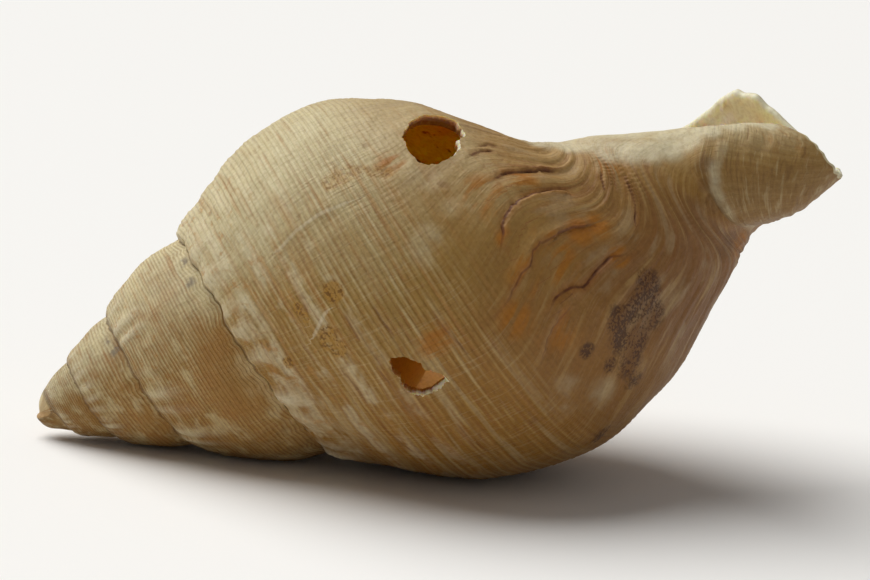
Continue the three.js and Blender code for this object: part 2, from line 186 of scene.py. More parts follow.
def suture(phi):
    return hermite_curve(SUT_PHI, SUT_T, phi)


def unit(v):
    return v / np.maximum(np.linalg.norm(v, axis=-1, keepdims=True), 1e-12)


# ------------------------------------------------------------------ seeded value noise
def _hash(ix, iy, iz):
    h = (ix * 374761393 + iy * 668265263 + iz * 1442695041) & 0xFFFFFFFF
    h = ((h ^ (h >> 13)) * 1274126177) & 0xFFFFFFFF
    h = ((h ^ (h >> 15)) * 2246822519) & 0xFFFFFFFF
    return ((h ^ (h >> 16)) & 0xFFFFFFFF) / 2147483647.5 - 1.0


def noise(x, y, z=0.0):
    x, y, z = np.broadcast_arrays(np.asarray(x, float), np.asarray(y, float), np.asarray(z, float))
    fx, fy, fz = np.floor(x), np.floor(y), np.floor(z)
    ix, iy, iz = fx.astype(np.int64), fy.astype(np.int64), fz.astype(np.int64)
    u, v, w = x - fx, y - fy, z - fz
    u, v, w = u * u * (3 - 2 * u), v * v * (3 - 2 * v), w * w * (3 - 2 * w)
    out = 0
    for dz in (0, 1):
        for dy in (0, 1):
            a = _hash(ix, iy + dy, iz + dz)
            b = _hash(ix + 1, iy + dy, iz + dz)
            out = out + (a + (b - a) * u) * (v if dy else 1 - v) * (w if dz else 1 - w)
    return out


def fbm(x, y, z=0.0, octaves=3, gain=0.5):
    s, amp = 0, 1.0
    for o in range(octaves):
        s = s + amp * noise(np.asarray(x) * 2 ** o + 17.3 * o, np.asarray(y) * 2 ** o + 5.1 * o, np.asarray(z) * 2 ** o)
        amp *= gain
    return s


GROW_T = [0, 0.1, 0.2, 0.3, 0.44, 0.5, 0.55, 0.6, 0.65, 0.7, 0.75, 0.8, 0.84, 0.87, 0.9, 0.95, 1.0, 1.6]
GROW_DEG = [9, 8, 6, 4, 0, -5, -9, -12, -12.5, -11, -9.5, -12, -20, -31, -46, -66, -76, -80]


def growth_angle(phi, t):
    """angle of the lip that passed through this point: growth lines bend back over the base"""
    return phi - np.radians(hermite_curve(GROW_T, np.array(GROW_DEG, float), t))


def smooth(a, b, x):
    s = np.clip((x - a) / (b - a), 0, 1)
    return s * s * (3 - 2 * s)


# ------------------------------------------------------------------ features of this shell, shell units
# cracks and scars on the base: points on the surface, depth, width, height of the step beside them
CRACKS = [
    ([[511, 86, 139], [522, 86, 126], [535, 81, 114]], 1.8, 1.3, 0.6),
    ([[521, 91, 120], [531, 89, 108], [539, 83, 103]], 1.1, 1.1, 0.2),
    ([[519, 55, 159], [535, 58, 141], [555, 52, 122], [567, 47, 110], [583, 39, 95]], 1.9, 1.4, 0.9),
    ([[563, 54, 108], [567, 46, 111]], 1.3, 1.2, 0.0),
    ([[506, -6, 190], [514, 6, 184], [516, 15, 180], [525, 24, 171], [531, 28, 164], [543, 30, 153], [554, 30, 142],
      [571, 25, 126], [583, 19, 116], [586, 15, 115], [585, 12, 119]], 2.3, 1.4, -1.1),
    ([[482, -59, 201], [498, -50, 195], [514, -35, 189], [528, -29, 182], [533, -18, 177], [542, -14, 170], [549, -15, 165],
      [563, -13, 153], [577, -14, 140], [592, -19, 127], [601, -26, 120]], 1.5, 1.6, 1.1),
    ([[528, -76, 178], [536, -68, 175], [544, -66, 171], [556, -65, 163], [566, -70, 156], [576, -65, 147], [587, -59, 138],
      [599, -55, 127], [615, -60, 112]], 2.3, 1.3, -1.2),
    ([[503, -118, 176], [513, -104, 177], [526, -92, 175], [550, -80, 165]], 0.8, 2.2, 1.2),
    ([[620, 20, 76], [618, 15, 81], [616, 2, 90]], 1.3, 1.0, 0.0),
    ([[641, 10, 70], [640, 6, 74], [640, -13, 82], [637, -28, 87], [628, -46, 93]], 1.4, 1.0, 0.5),
    ([[316, 19, 183], [317, 6, 184]], 0.8, 0.9, 0.0),
    ([[349, -3, 200], [352, -25, 200], [353, -37, 199]], 0.9, 0.9, 0.0),
    ([[378, -8, 207], [380, -26, 207], [386, -43, 206]], 0.9, 0.9, 0.0),
    ([[358, -60, 196], [363, -81, 190], [369, -114, 176], [374, -138, 161], [378, -157, 145]], 0.9, 0.9, 0.0),
    ([[325, -50, 181], [330, -74, 176], [335, -94, 169]], 0.8, 0.8, 0.0),
    ([[338, -116, 157], [345, -141, 140], [355, -161, 125]], 0.9, 0.9, 0.0),
    ([[405, -143, 166], [409, -160, 153], [419, -183, 130]], 0.8, 0.8, 0.0),
    ([[428, -32, 212], [433, -56, 209], [442, -82, 202]], 0.8, 0.8, 0.0),
    ([[314, -15, 182], [325, -5, 189], [334, 2, 194]], -0.6, 1.2, 0.0),
    ([[311, 71, 168], [324, 77, 172], [342, 84, 176], [364, 89, 179], [388, 89, 182]], -0.5, 2.4, 0.6),
]
# soft spots: (x, y, z, radius)
DARK = [(619, -100, 101, 22), (613, -124, 97, 22), (583, -113, 131, 19), (579, -133, 124, 19), (578, -158, 107, 20),
        (575, -178, 89, 14), (545, -128, 150, 9), (524, -219, 64, 14), (598, -140, 108, 20), (600, -112, 116, 18), (560, -150, 125, 10)]
SAND = [(382, 113, 166, 11), (395, 115, 165, 13), (406, 113, 167, 10), (427, 106, 170, 9), (435, 100, 173, 7), (414, 110, 168, 8)]
PITS = [(348, 17, 198, 11), (327, -18, 189, 9), (330, -34, 188, 10), (278, -32, 155, 6), (309, 14, 180, 6), (313, 3, 182, 5), (322, -26, 186, 8)]
ORANGE = [(547, -23, 169, 24), (581, -21, 139, 18), (519, -36, 186, 22), (529, -97, 172, 26), (514, 2, 185, 10),
          (599, -23, 122, 16), (606, -58, 120, 14), (512, 47, 169, 26), (546, 46, 138, 22), (633, 27, 63, 24),
          (723, -104, -12, 18), (553, -38, 166, 24), (495, -70, 192, 20), (440, 105, 165, 16), (420, -60, 208, 22)]
CREAM = [(602, 54, 41, 20), (621, 49, 38, 22), (637, 36, 51, 20), (655, 28, 49, 20), (673, 21, 47, 18), (692, 15, 41, 17),
         (713, 15, 38, 16), (735, 17, 37, 14), (756, 13, 20, 18), (776, 6, 3, 16), (791, -2, 9, 12),
         (580, 76, 50, 20), (640, 45, 10, 26),
         (690, 27, 26, 12), (707, 24, 26, 11), (724, 19, 34, 10), (590, 70, 30, 26), (615, 58, 22, 26), (660, 38, 12, 26), (690, 28, 4, 24),
         (720, 22, 0, 20), (565, 88, 45, 20)]
RIDGE = [(739, -2, 50), (723, -20, 60), (717, -40, 60), (720, -61, 52), (733, -80, 20), (741, -92, -17)]
RED = [(214, 3, 124, 28), (222, -26, 125, 28), (205, -47, 116, 22), (225, -55, 117, 22), (62, -2, 44, 12), (63, -17, 42, 12),
       (130, -51, 61, 14), (121, -36, 68, 14)]
GREY = [(110, 48, 52, 6), (112, 36, 62, 7), (210, 91, 74, 7), (212, 72, 96, 7)]
PALE = [(300, 124, 126, 34), (274, 98, 127, 26), (250, 80, 120, 18), (328, 148, 116, 28), (367, 168, 96, 26), (260, 8, 147, 14),
        (270, -42, 146, 14), (282, -74, 141, 16), (286, -111, 116, 14), (257, 40, 141, 14), (448, 25, 206, 22), (484, 39, 188, 20),
        (504, -162, 149, 26), (540, -176, 116, 22), (470, 90, 165, 26)]
NECK = [(717, -12, 60, 12), (712, -31, 59, 12), (709, -51, 51, 14), (700, -75, 45, 22), (702, -90, 10, 24),
        (690, -50, 62, 18)]

HOLES = [
    dict(normal=[0.513, 0.712, 0.480],
         outline=[[464.8, 131.3, 121.1], [474.0, 135.2, 105.0], [485.4, 134.2, 90.6], [498.1, 127.7, 82.0], [507.5, 119.8, 83.5],
                  [511.7, 111.4, 97.7], [504.3, 104.1, 123.0], [492.2, 92.8, 147.6], [477.9, 92.0, 158.0], [468.2, 95.1, 161.2],
                  [460.0, 116.9, 144.5]],
         bevel=[(-25, 3.6, 50), (-75, 2.2, 40), (20, 2.4, 30)], bevel_depth=5.0, seed=3.0),
    dict(normal=[-0.186, -0.341, 0.921],
         outline=[[371.2, -62.8, 198.9], [376.3, -60.6, 200.7], [389.0, -66.6, 201.5], [398.3, -82.9, 198.0], [412.6, -99.4, 193.5],
                  [405.8, -100.9, 191.9], [387.5, -103.4, 187.4], [379.2, -99.0, 187.5], [375.1, -82.3, 193.6], [370.3, -69.8, 196.5]],
         bevel=[(-22, 8.5, 30), (-62, 4.5, 26)], bevel_depth=6.0, seed=8.0),
]


def spots(P, blobs):
    out = np.zeros(P.shape[:-1])
    for x, y, z, r in blobs:
        d = np.linalg.norm(P - np.array([x, y, z], float), axis=-1) / r
        out = np.maximum(out, 1 - smooth(0.45, 1.25, d))
    return out


def along_line(P, pts, r):
    best = np.full(P.shape[:-1], 99.0)
    for a, b in zip(pts[:-1], pts[1:]):
        a, e = np.array(a, float), np.array(b, float) - np.array(a, float)
        h = np.clip(((P - a) @ e) / (e @ e), 0, 1)
        best = np.minimum(best, np.linalg.norm(P - (a + h[..., None] * e), axis=-1))
    return 1 - smooth(0.3 * r, 1.2 * r, best)


def crack_fields(P, Nrm):
    """signed distance to the nearest crack and that crack's index, in units"""
    best = np.full(P.shape[:-1], 99.0)
    sgn = np.ones_like(best)
    which = np.zeros(best.shape, int)
    along = np.zeros_like(best)
    near = np.linalg.norm(P - np.array([480.0, -20, 150]), axis=-1) < 290
    Q, NQ = P[near], Nrm[near]
    b, s, w, al = best[near], sgn[near], which[near], along[near]
    for c, (pts, *_r) in enumerate(CRACKS):
        pts = np.array(pts, float)
        # a few extra points with a small wander, so that the line isn't straight
        fine = [pts[0]]
        for k in range(len(pts) - 1):
            for f in (0.33, 0.67, 1.0):
                p = pts[k] + (pts[k + 1] - pts[k]) * f
                if f < 1:
                    p = p + 1.1 * np.array([noise(p[0] * 0.31, c * 3.1), noise(p[1] * 0.31, c * 5.7 + 9), noise(p[2] * 0.3, c + 40.0)])
                fine.append(p)
        fine = np.array(fine)
        total = len(fine) - 1
        for k in range(total):
            a, e = fine[k], fine[k + 1] - fine[k]
            h = np.clip(((Q - a) @ e) / (e @ e), 0, 1)
            v = Q - (a + h[:, None] * e)
            d = np.linalg.norm(v, axis=1)
            m = d < b
            side = np.sign(np.einsum("ij,ij->i", np.cross(np.broadcast_to(e, v.shape), v), NQ))
            b[m], s[m], w[m], al[m] = d[m], side[m], c, ((k + h) / total)[m]
    best[near], sgn[near], which[near], along[near] = b, s, w, al
    return best, sgn, which, along


# ------------------------------------------------------------------ outer surface on a fine grid
def warp(x):
    return x - 0.25 * np.sin(x - PI / 2)        # denser columns on the side with the scars


def grid():
    iL = int(WHORLS * TURN)
    delta = LIP
    for _ in range(40):
        delta -= (warp(delta) - LIP) / (1 - 0.25 * math.cos(delta - PI / 2))
    phi = warp(2 * PI * (np.arange(iL + 1) - iL) / TURN + delta)
    phi[-1] = LIP
    last = iL - TURN
    # arc length of the profile at 90 degrees, the measure of the cords
    tt = np.linspace(0, 1.6, 6401)
    o = last_whorl(np.array([PI / 2]), tt[None])[0]
    arc = np.concatenate([[0], np.cumsum(np.hypot(*np.diff(o, axis=0).T))])
    t_end0 = float(suture(np.array(LIP)))
    arc_end = float(np.interp(t_end0, tt, arc))
    cord = arc_end / CORDS_A
    MA = CORDS_A * 3
    xs = [np.arange(MA + 1) / 3.0]
    xb = CORDS_A + np.arange(1, CORDS_B * 3 + 1) / 3.0
    x_c = CORDS_A + (float(np.interp(1.05, tt, arc)) - arc_end) / cord
    x_d = CORDS_A + (arc[-1] - arc_end) / cord
    xc = xb[-1] + (x_c - xb[-1]) * np.arange(1, ROWS_C + 1) / ROWS_C
    xd = x_c + (x_d - x_c) * np.arange(1, ROWS_D + 1) / ROWS_D
    rows = np.concatenate([xs[0], xb, xc, xd])
    M = len(rows) - 1
    t = np.zeros((iL + 1, M + 1))
    t_end = np.full(iL + 1, t_end0)
    t_end[:last] = suture(phi[:last] + 2 * PI)
    wave = 0.0065 * noise(phi * 8.0, 4.0) + 0.0045 * noise(phi * 19.0, 9.0)
    wave = wave * np.clip((phi[last] - phi) / 0.2, 0, 1)
    q = rows[:MA + 1] / CORDS_A
    t[:, :MA + 1] = np.interp(q[None, :] * np.interp(t_end, tt, arc)[:, None], arc, tt) + wave[:, None] * smooth(0.72, 1.0, q)[None, :]
    t[:, MA + 1:] = np.interp(arc_end + (rows[MA + 1:] - CORDS_A) * cord, arc, tt)[None, :]
    t[:, -1] = 1.6
    al = np.repeat(phi[:, None], M + 1, 1)
    a0 = math.radians(236)
    k = phi > a0
    al[k] = a0 + (phi[k][:, None] - a0) * (lip_angle(t[k]) - a0) / (LIP - a0)
    P = np.full((iL + 1, M + 1, 3), np.nan)
    X, r = spiral(phi[:last, None], t[:last, :MA + 1])
    P[:last, :MA + 1] = place(X, r, al[:last, :MA + 1])
    plain = (phi <= a0) & (np.arange(iL + 1) >= last)
    o = last_whorl(phi[plain], t[plain])
    P[plain] = place(o[..., 0], o[..., 1], al[plain])
    o = last_whorl(al[k].ravel(), t[k].reshape(-1, 1)).reshape(al[k].shape + (2,))
    P[k] = place(o[..., 0], o[..., 1], al[k])
    return dict(phi=phi, t=t, al=al, P=P, rows=rows, MA=MA, MB=MA + CORDS_B * 3, MC=MA + CORDS_B * 3 + ROWS_C, M=M, iL=iL, last=last, cord=cord)


def normals(P):
    dphi = np.gradient(P, axis=0)
    dt = np.gradient(P, axis=1)
    return unit(np.cross(dphi, dt))


def relief(G, i0, i1, cols):
    """outward displacement of the columns i0..i1, and the colour zones that go with it"""
    phi, t, P = G["phi"][i0:i1, None], G["t"][i0:i1, :cols], G["P"][i0:i1, :cols]
    Nrm = normals(P)
    x = np.broadcast_to(G["rows"][None, :cols], t.shape)
    turn = (LIP - phi) / (2 * PI)                     # 0 at the lip, grows towards the tip
    size = grow_r(phi)
    body = 1 - smooth(0.93, 1.05, turn)
    deg = np.degrees(phi)
    # --- spiral cords: the number doubles with each whorl
    wob = 0.08 * noise(phi * 3.0, x * 0.13, 3.0)

    def cords(f):
        s = (x + wob) * f
        k = np.round(s)
        d = np.abs(s - k)
        vary = 0.62 + 0.55 * noise(phi * 3.1 + k * 5.3, k * 7.7) + 0.35 * noise(phi * 11.0, k * 3.9, 5.0)
        return np.exp(-(d / 0.19) ** 2) * np.clip(vary, 0.08, 1.6)

    w1 = 1 - smooth(0.92, 1.02, turn)
    w2 = smooth(0.92, 1.02, turn) * (1 - smooth(1.95, 2.05, turn))
    w3 = smooth(1.95, 2.05, turn)
    groove = cords(1.0) * w1 + cords(0.5) * w2 * 1.25 + cords(0.25) * w3
    zone = np.where(x < CORDS_A, 1.0, 1 - 0.75 * smooth(CORDS_A + 2, CORDS_A + CORDS_B, x))
    zone = zone * (1 - 0.85 * smooth(0.60, 0.80, t))
    worn = 0.75 + 0.45 * noise(P[..., 0] / 70, P[..., 1] / 70, P[..., 2] / 70)
    worn = worn * (1 - 0.6 * smooth(1.9, 3.2, turn))
    h = -1.15 * groove * zone * worn * np.clip(size, 0.5, 1.1)
    # broad folds, two cords wide, strongest on the shoulder side
    f2 = np.cos(2 * PI * ((x + wob * 2) * 0.5 * np.where(turn > 0.97, 0.5, 1.0) + 0.25)) * smooth(0.0, 0.07, np.abs(turn - 0.97))
    h = h + 0.36 * f2 * zone * (1 - smooth(24, 40, x)) * worn * np.clip(size, 0.4, 1.0)
    f5 = np.cos(2 * PI * (x / 5.3 + 0.3 * noise(phi * 2.0, x * 0.1)))
    h = h + 0.45 * f5 * (1 - smooth(16, 34, x)) * body * smooth(1, 4, x)
    # --- crenulated shoulder under the suture
    nph = phi * 26 + 2.2 * noise(phi * 4.0, 2.0)
    nod = np.sin(nph) * 0.5 + 0.5
    nod = nod * np.exp(-((x * (1 - 0.5 * smooth(0.86, 1.04, turn)) - 2.4) / 2.9) ** 2) * np.clip(0.65 + 0.7 * noise(phi * 7.0, 1.0, 8.0), 0, 1.2)
    h = h + 3.6 * nod * size * (1 - 0.6 * smooth(1.8, 2.6, turn))
    # rounded shoulder that stands over the suture
    xs = x * (1 - 0.5 * smooth(0.86, 1.04, turn))
    h = h + 3.0 * size * np.exp(-((xs - 3.0) / 2.6) ** 2)
    # --- low axial folds and growth lines, slightly slanted
    slant = growth_angle(phi, t)
    ax = noise(slant * 12, x * 0.10, 21.0) + 0.5 * noise(slant * 23, x * 0.16, 4.0)
    h = h + 0.8 * ax * size * (1 - smooth(0.8, 1.0, t))
    base = smooth(0.50, 0.68, t) * (1 - smooth(0.95, 1.06, t)) * body
    gl = noise(slant * 24, x * 0.04, 9.0) + 0.6 * noise(slant * 52, x * 0.06, 2.0)
    h = h + 0.65 * gl * base * (1 - smooth(0.84, 0.93, t)) + 1.1 * noise(slant * 8, x * 0.05, 31.0) * base
    # lines that fan into the callus
    fan = base * smooth(0.66, 0.76, t) * (1 - smooth(0.86, 0.95, t)) * np.exp(-((deg - 92) / 34.0) ** 2)
    h = h + 0.9 * noise(slant * 34, t * 3.0, 6.0) * fan
    # growth stops: small steps
    for k in range(26):
        p0 = LIP - 2 * PI * (0.03 + k * 0.165 + 0.05 * noise(np.array(k * 1.7), 0.5))
        d = (slant - p0) * 150 * size
        h = h + 0.55 * (0.6 + 0.4 * noise(np.array(k * 3.3), 1.5)) * np.where(d < 0, 0, np.exp(-d / 7)) * smooth(-2, 0.6, d) * (1 - smooth(0.9, 1.0, t))
    # --- canal and fasciole: growth ridges that follow the old notches
    s = t + 0.0018 * (deg - 90) * smooth(1.1, 1.3, t)
    fas = smooth(1.12, 1.22, t) * (1 - smooth(1.56, 1.6, t)) * smooth(40, 70, deg) * (1 - smooth(215, 260, deg))
    h = h + fas * (1.0 * np.sin(s * 2 * PI / 0.085 + 2.2 * noise(deg / 40, s * 3)) * (0.55 + 0.45 * noise(s * 23, deg / 60, 4.0)) + 0.5 * noise(s * 60, deg / 30, 1.0))
    # --- lumps and wear
    h = h + 0.9 * fbm(P[..., 0] / 38, P[..., 1] / 38, P[..., 2] / 38, 2) + 0.28 * fbm(P[..., 0] / 7, P[..., 1] / 7, P[..., 2] / 7, 2)
    # --- scars
    dist, side, which, along = crack_fields(P, Nrm)
    cd = np.array([c[1] for c in CRACKS])[which]
    cw = np.array([c[2] for c in CRACKS])[which]
    cs = np.array([c[3] for c in CRACKS])[which]
    fade = np.clip(np.minimum(along, 1 - along) * 7, 0.15, 1)
    brk = 0.55 + 0.6 * (noise(P[..., 0] / 6, P[..., 1] / 6, P[..., 2] / 6) * 0.5 + 0.5)
    h = h - 1.25 * cd * fade * brk * np.exp(-(dist / cw) ** 2) + 1.5 * cs * side * fade * np.exp(-(dist / 9.0) ** 2) * smooth(0.2, 1.8, dist)
    # --- pits
    sand, pits = spots(P, SAND), spots(P, PITS)
    grain = noise(P[..., 0] / 2.6, P[..., 1] / 2.6, P[..., 2] / 2.6)
    h = h - 0.9 * (sand * 0.8 + pits) * np.clip(grain + 0.15, 0, 1) - 0.5 * pits
    # --- keep the suture a clean narrow groove
    h = h * smooth(-0.4, 1.6, xs) - 0.6 * np.exp(-(xs / 0.9) ** 2) * size
    h = h * (1 - 0.6 * smooth(3.2, 4.4, turn))
    crack = np.where(dist < 40, dist * side, 40.0)
    strength = np.where(cd > 0, fade * brk * (0.2 + 0.38 * cd), -0.28) * (1 - smooth(20, 36, dist))
    ridge = along_line(P, RIDGE, 7.0)
    h = h + 1.8 * ridge
    za = np.stack([np.maximum(spots(P, CREAM), 0.55 * ridge * np.clip(0.8 + 0.5 * noise(P[..., 1] / 9, P[..., 0] / 9), 0, 1)), spots(P, ORANGE), spots(P, DARK)], -1)
    zb = np.stack([np.maximum(sand * 0.8, pits), np.maximum(spots(P, RED), 0), np.maximum(spots(P, GREY), 0)], -1)
    zc = np.stack([crack, strength, np.broadcast_to(nod, t.shape)], -1)
    zd = np.stack([spots(P, PALE), spots(P, NECK), np.broadcast_to(base, t.shape)], -1)
    ze = np.stack([np.broadcast_to(slant, t.shape), np.broadcast_to(fan, t.shape), np.clip(0.5 + h / 6, 0, 1)], -1)
    return h, Nrm, za, zb, zc, zd, ze


def section(phi, k):
    """cross-section of the hollow at one angle; k runs 0..4"""
    S = float(grow_r(phi))
    w, g, deg = min(WALL * S, WALL), GLAZE * S, math.degrees(phi)
    if phi >= LIP - 2 * PI - 1e-9:
        f = lambda t: last_whorl(np.array([phi]), np.asarray(t, float)[None])[0]
    else:
        f = lambda t: np.stack(np.broadcast_arrays(*spiral(phi, np.asarray(t, float))), -1)
    fp = lambda t: np.stack(np.broadcast_arrays(*spiral(phi - 2 * PI, np.asarray(t, float))), -1)

    def off(fn, t, d):
        t = np.asarray(t, float)
        T = unit(fn(t + 2e-3) - fn(t - 2e-3))
        return fn(t) - d * np.stack([-T[:, 1], T[:, 0]], -1)

    te, ts = 0.85, float(suture(np.array(phi))) + 0.055
    A0, A = off(f, [te - 0.02], w)[0], off(f, [te], w)[0]
    Ta = unit(A - A0)
    near = min(max((deg - 180) / 66, 0), 1.3)
    B = np.array([float(grow_h(phi)) * (815 - 26 * near) - 72.70, 34 * S * (1 - 0.15 * min(max((deg - 150) / 90, 0), 1))])
    D, D1 = off(fp, [1.0], -g)[0], off(fp, [0.98], -g)[0]
    Td = unit(D - D1)
    bez = lambda a, b, c, d, s: (1 - s) ** 3 * a + 3 * (1 - s) ** 2 * s * b + 3 * (1 - s) * s * s * c + s ** 3 * d
    out = np.zeros((len(k), 2))
    m = k < 1
    out[m] = off(f, 0.10 + (te - 0.10) * k[m], w)
    m = (k >= 1) & (k < 2)
    L = 0.75 * np.linalg.norm(A - B)
    out[m] = bez(A, A + Ta * L * 0.85, B + np.array([L * (0.9 + 0.12 * min(max((deg - 180) / 66, 0), 1)), 0]), B, (k[m] - 1)[:, None])
    m = (k >= 2) & (k < 3)
    L = 0.35 * np.linalg.norm(B - D)
    out[m] = bez(B, B - np.array([L, 0]), D + Td * L, D, (k[m] - 2)[:, None])
    m = k >= 3
    out[m] = off(fp, 1.0 + (ts - 1.0) * (k[m] - 3), -g)
    return place(out[:, 0], out[:, 1], np.full(len(k), phi))


def build_shell():
    G = grid()
    iL, last, MA, MB, MC, M = G["iL"], G["last"], G["MA"], G["MB"], G["MC"], G["M"]
    phi, P0 = G["phi"], G["P"]
    P = P0.copy()
    Z = [np.zeros(P.shape) for _ in range(5)]
    h, Nr, *z = relief(G, 0, last, MA + 1)
    P[:last, :MA + 1] += Nr * h[..., None]
    for a, b in zip(Z, z):
        a[:last, :MA + 1] = b
    h, Nr, *z = relief(G, last, iL + 1, M + 1)
    # both grids meet in the same column
    P[last:] += Nr * h[..., None]
    for a, b in zip(Z, z):
        a[last:] = b
    # ragged edge of the old canal
    tt, ee = G["t"][last:], np.degrees(phi[last:])[:, None]
    rag = smooth(1.40, 1.6, tt) * smooth(70, 120, ee) * (1 - smooth(215, 262, ee)) * (3.6 * noise(ee / 9.0, 3.0) + 3.0 * noise(ee / 19.0, 1.0))
    rag = rag + smooth(1.45, 1.6, tt) * smooth(20, 60, ee) * (1 - smooth(70, 110, ee)) * (1.2 * noise(ee / 6.0, 7.0))
    tang = unit(np.gradient(P0[last:], axis=1))
    P[last:] += tang * rag[..., None]
    # uneven outer lip
    fwd = unit(np.gradient(P0[last:], axis=0))
    back = smooth(250, 276, ee) * smooth(0.12, 0.3, tt) * (1 - smooth(1.45, 1.58, tt))
    P[last:] += fwd * (back * (3.2 * noise(tt * 7.5, 2.0) + 1.6 * noise(tt * 19, 5.0) - 1.0))[..., None]
    # each whorl is welded to the one before along the suture
    for i in range(TURN, iL + 1):
        d = P[i - TURN, MA] - P[i, 0]
        w = np.clip(1 - G["t"][i] / 0.15, 0, 1) ** 2
        n = M + 1 if i >= last else MA + 1
        P[i, :n] += w[:n, None] * d

    def level(i):                      # whorl of the cell that starts at column i
        return min(int((iL - 1 - i) // TURN), 4)

    # rows and columns that exist
    exist = np.zeros(P.shape[:2], bool)
    cells = []
    for i in range(iL):
        lv = level(i)
        cs, rs = LEVEL_COLS[lv], LEVEL_ROWS[lv]
        if (iL - i) % cs == 0:
            js = list(range(0, MA + 1, rs))
            for j0, j1 in zip(js[:-1], js[1:]):
                cells.append((i, i + cs, j0, j1))
            exist[i, js] = True
            exist[i + cs, js] = True
            if i >= last:
                js = list(range(MA, MB + 1))
                cells += [(i, i + cs, j0, j0 + 1) for j0 in js[:-1]]
                exist[i, js] = exist[i + cs, js] = True
                js = list(range(MC, M + 1))
                cells += [(i, i + cs, j0, j0 + 1) for j0 in js[:-1]]
                exist[i, js] = exist[i + cs, js] = True
        if i >= last:
            js = list(range(MB, MC + 1))
            cells += [(i, i + 1, j0, j0 + 1) for j0 in js[:-1]]
            exist[i, js] = exist[i + 1, js] = True
    # a suture vertex of a whorl is a vertex of the whorl before
    for i in range(iL, TURN - 1, -1):
        if exist[i, 0]:
            exist[i - TURN, MA] = True
    idx = -np.ones(exist.shape, int)
    V, ZV = [], [[], [], [], [], []]
    for i in range(iL + 1):
        js = np.nonzero(exist[i])[0]
        for j in js:
            if j == 0 and i >= TURN:
                idx[i, 0] = idx[i - TURN, MA]
                continue
            idx[i, j] = len(V)
            V.append(P[i, j])
            for a, b in zip(ZV, Z):
                a.append(b[i, j])
    tris, corner = [], []          # corner = (column, row, whorl)
    rows, tg = G["rows"], G["t"]

    def put(a, b, c):
        ia, ib, ic = idx[a], idx[b], idx[c]
        if ia == ib or ib == ic or ia == ic:
            return
        tris.append((ia, ib, ic))
        corner.extend((a + (lv,), b + (lv,), c + (lv,)))

    for i0, i1, j0, j1 in cells:
        lv = level(i0)
        top = [(i, j0) for i in range(i0, i1 + 1) if exist[i, j0]] if i1 - i0 > 1 else [(i0, j0), (i1, j0)]
        bottom = [(i, j1) for i in range(i1, i0 - 1, -1) if exist[i, j1]] if i1 - i0 > 1 else [(i1, j1), (i0, j1)]
        right = [(i1, j) for j in range(j0 + 1, j1) if exist[i1, j]] if j1 - j0 > 1 else []
        left = [(i0, j) for j in range(j1 - 1, j0, -1) if exist[i0, j]] if j1 - j0 > 1 else []
        ring = top + right + bottom + left
        if len(ring) == 4:
            a, b, c, d = ring
            if np.sum((P[a] - P[c]) ** 2) <= np.sum((P[b] - P[d]) ** 2):
                put(a, b, c), put(a, c, d)
            else:
                put(a, b, d), put(b, c, d)
        else:
            mids = [k for k, q in enumerate(ring) if q not in ((i0, j0), (i1, j0), (i1, j1), (i0, j1))]
            ring = ring[mids[0]:] + ring[:mids[0]]
            for k in range(1, len(ring) - 1):
                put(ring[0], ring[k], ring[k + 1])
    corner = np.array(corner)
    ci, cj, cl = corner[:, 0], corner[:, 1], corner[:, 2]
    cattr = np.stack([phi[ci], rows[cj], (LIP - phi[ci]) / (2 * PI), tg[ci, cj], np.zeros(len(ci)), np.zeros(len(ci))], -1)
    # flat layout: one strip for each whorl
    fu = (ci - (iL - TURN * (cl + 1))) / TURN
    fv = rows[cj] / np.where(cl == 0, rows[-1], rows[MA])
    box = np.array([[0.005, 0.995, 0.40, 0.995], [0.005, 0.995, 0.27, 0.39], [0.005, 0.60, 0.20, 0.26], [0.61, 0.87, 0.20, 0.26], [0.765, 0.995, 0.20, 0.26]])[cl]
    uvs = [np.stack([box[:, 0] + (box[:, 1] - box[:, 0]) * fu, box[:, 2] + (box[:, 3] - box[:, 2]) * fv], -1)]
    tris = [tuple(q) for q in tris]

    # ---- edge of the mouth: fine loop
    def nrm(i, j):
        i0, i1, j0, j1 = max(i - 2, last), min(i + 2, iL), max(j - 2, 0), min(j + 2, M)
        return unit(np.cross(P0[i1, j] - P0[i0, j], P0[i, j1] - P0[i, j0]))

    loop, pts, g, n, th, ro, ka = [], [], [], [], [], [], []
    for j in [j for j in range(M + 1) if exist[iL, j]]:
        t = tg[iL, j]
        loop.append((iL, j)); pts.append(P[iL, j])
        g.append(unit(P0[iL, j] - P0[iL - 4, j])); n.append(nrm(iL, j)); th.append(180.0)
        ro.append(LIP_ROUND * min(max(t / 0.35, 0.02), 1) * np.interp(t, [0.9, 1.2, 1.6], [1, 0.7, 0.6]))
        ka.append(t / 1.2 if t < 1.2 else 1 + (t - 1.2) / 0.4 * 0.35)
    corner_k = len(loop) - 1
    a0 = math.degrees(G["al"][iL, M])
    for i in [i for i in range(iL - 1, last - 1, -1) if exist[i, M]]:
        al = G["al"][i, M]; d = math.degrees(al)
        gt = unit(P0[i, M] - P0[i, M - 2]); gp = np.array([0, math.sin(al), -math.cos(al)])
        b = min(max((50 - d) / 35, 0), 1); b = b * b * (3 - 2 * b)
        loop.append((i, M)); pts.append(P[i, M]); g.append(unit(gt * (1 - b) + gp * b)); n.append(nrm(i, M))
        th.append(float(np.interp(d, [-84, -42, 0, 22, 50, 60], [0, 45, 85, 110, 165, 180])))
        ro.append(LIP_ROUND * float(np.interp(d, [-84, -42, 0, 50, 200, 300], [0.5, 0.8, 1, 1, 0.8, 0.6])))
        ka.append(1.35 + 0.65 * (a0 - d) / (a0 - 60) if d > 60 else 2 + (60 - d) / 144)
    for j in [j for j in range(M - 1, MA, -1) if exist[last, j]]:
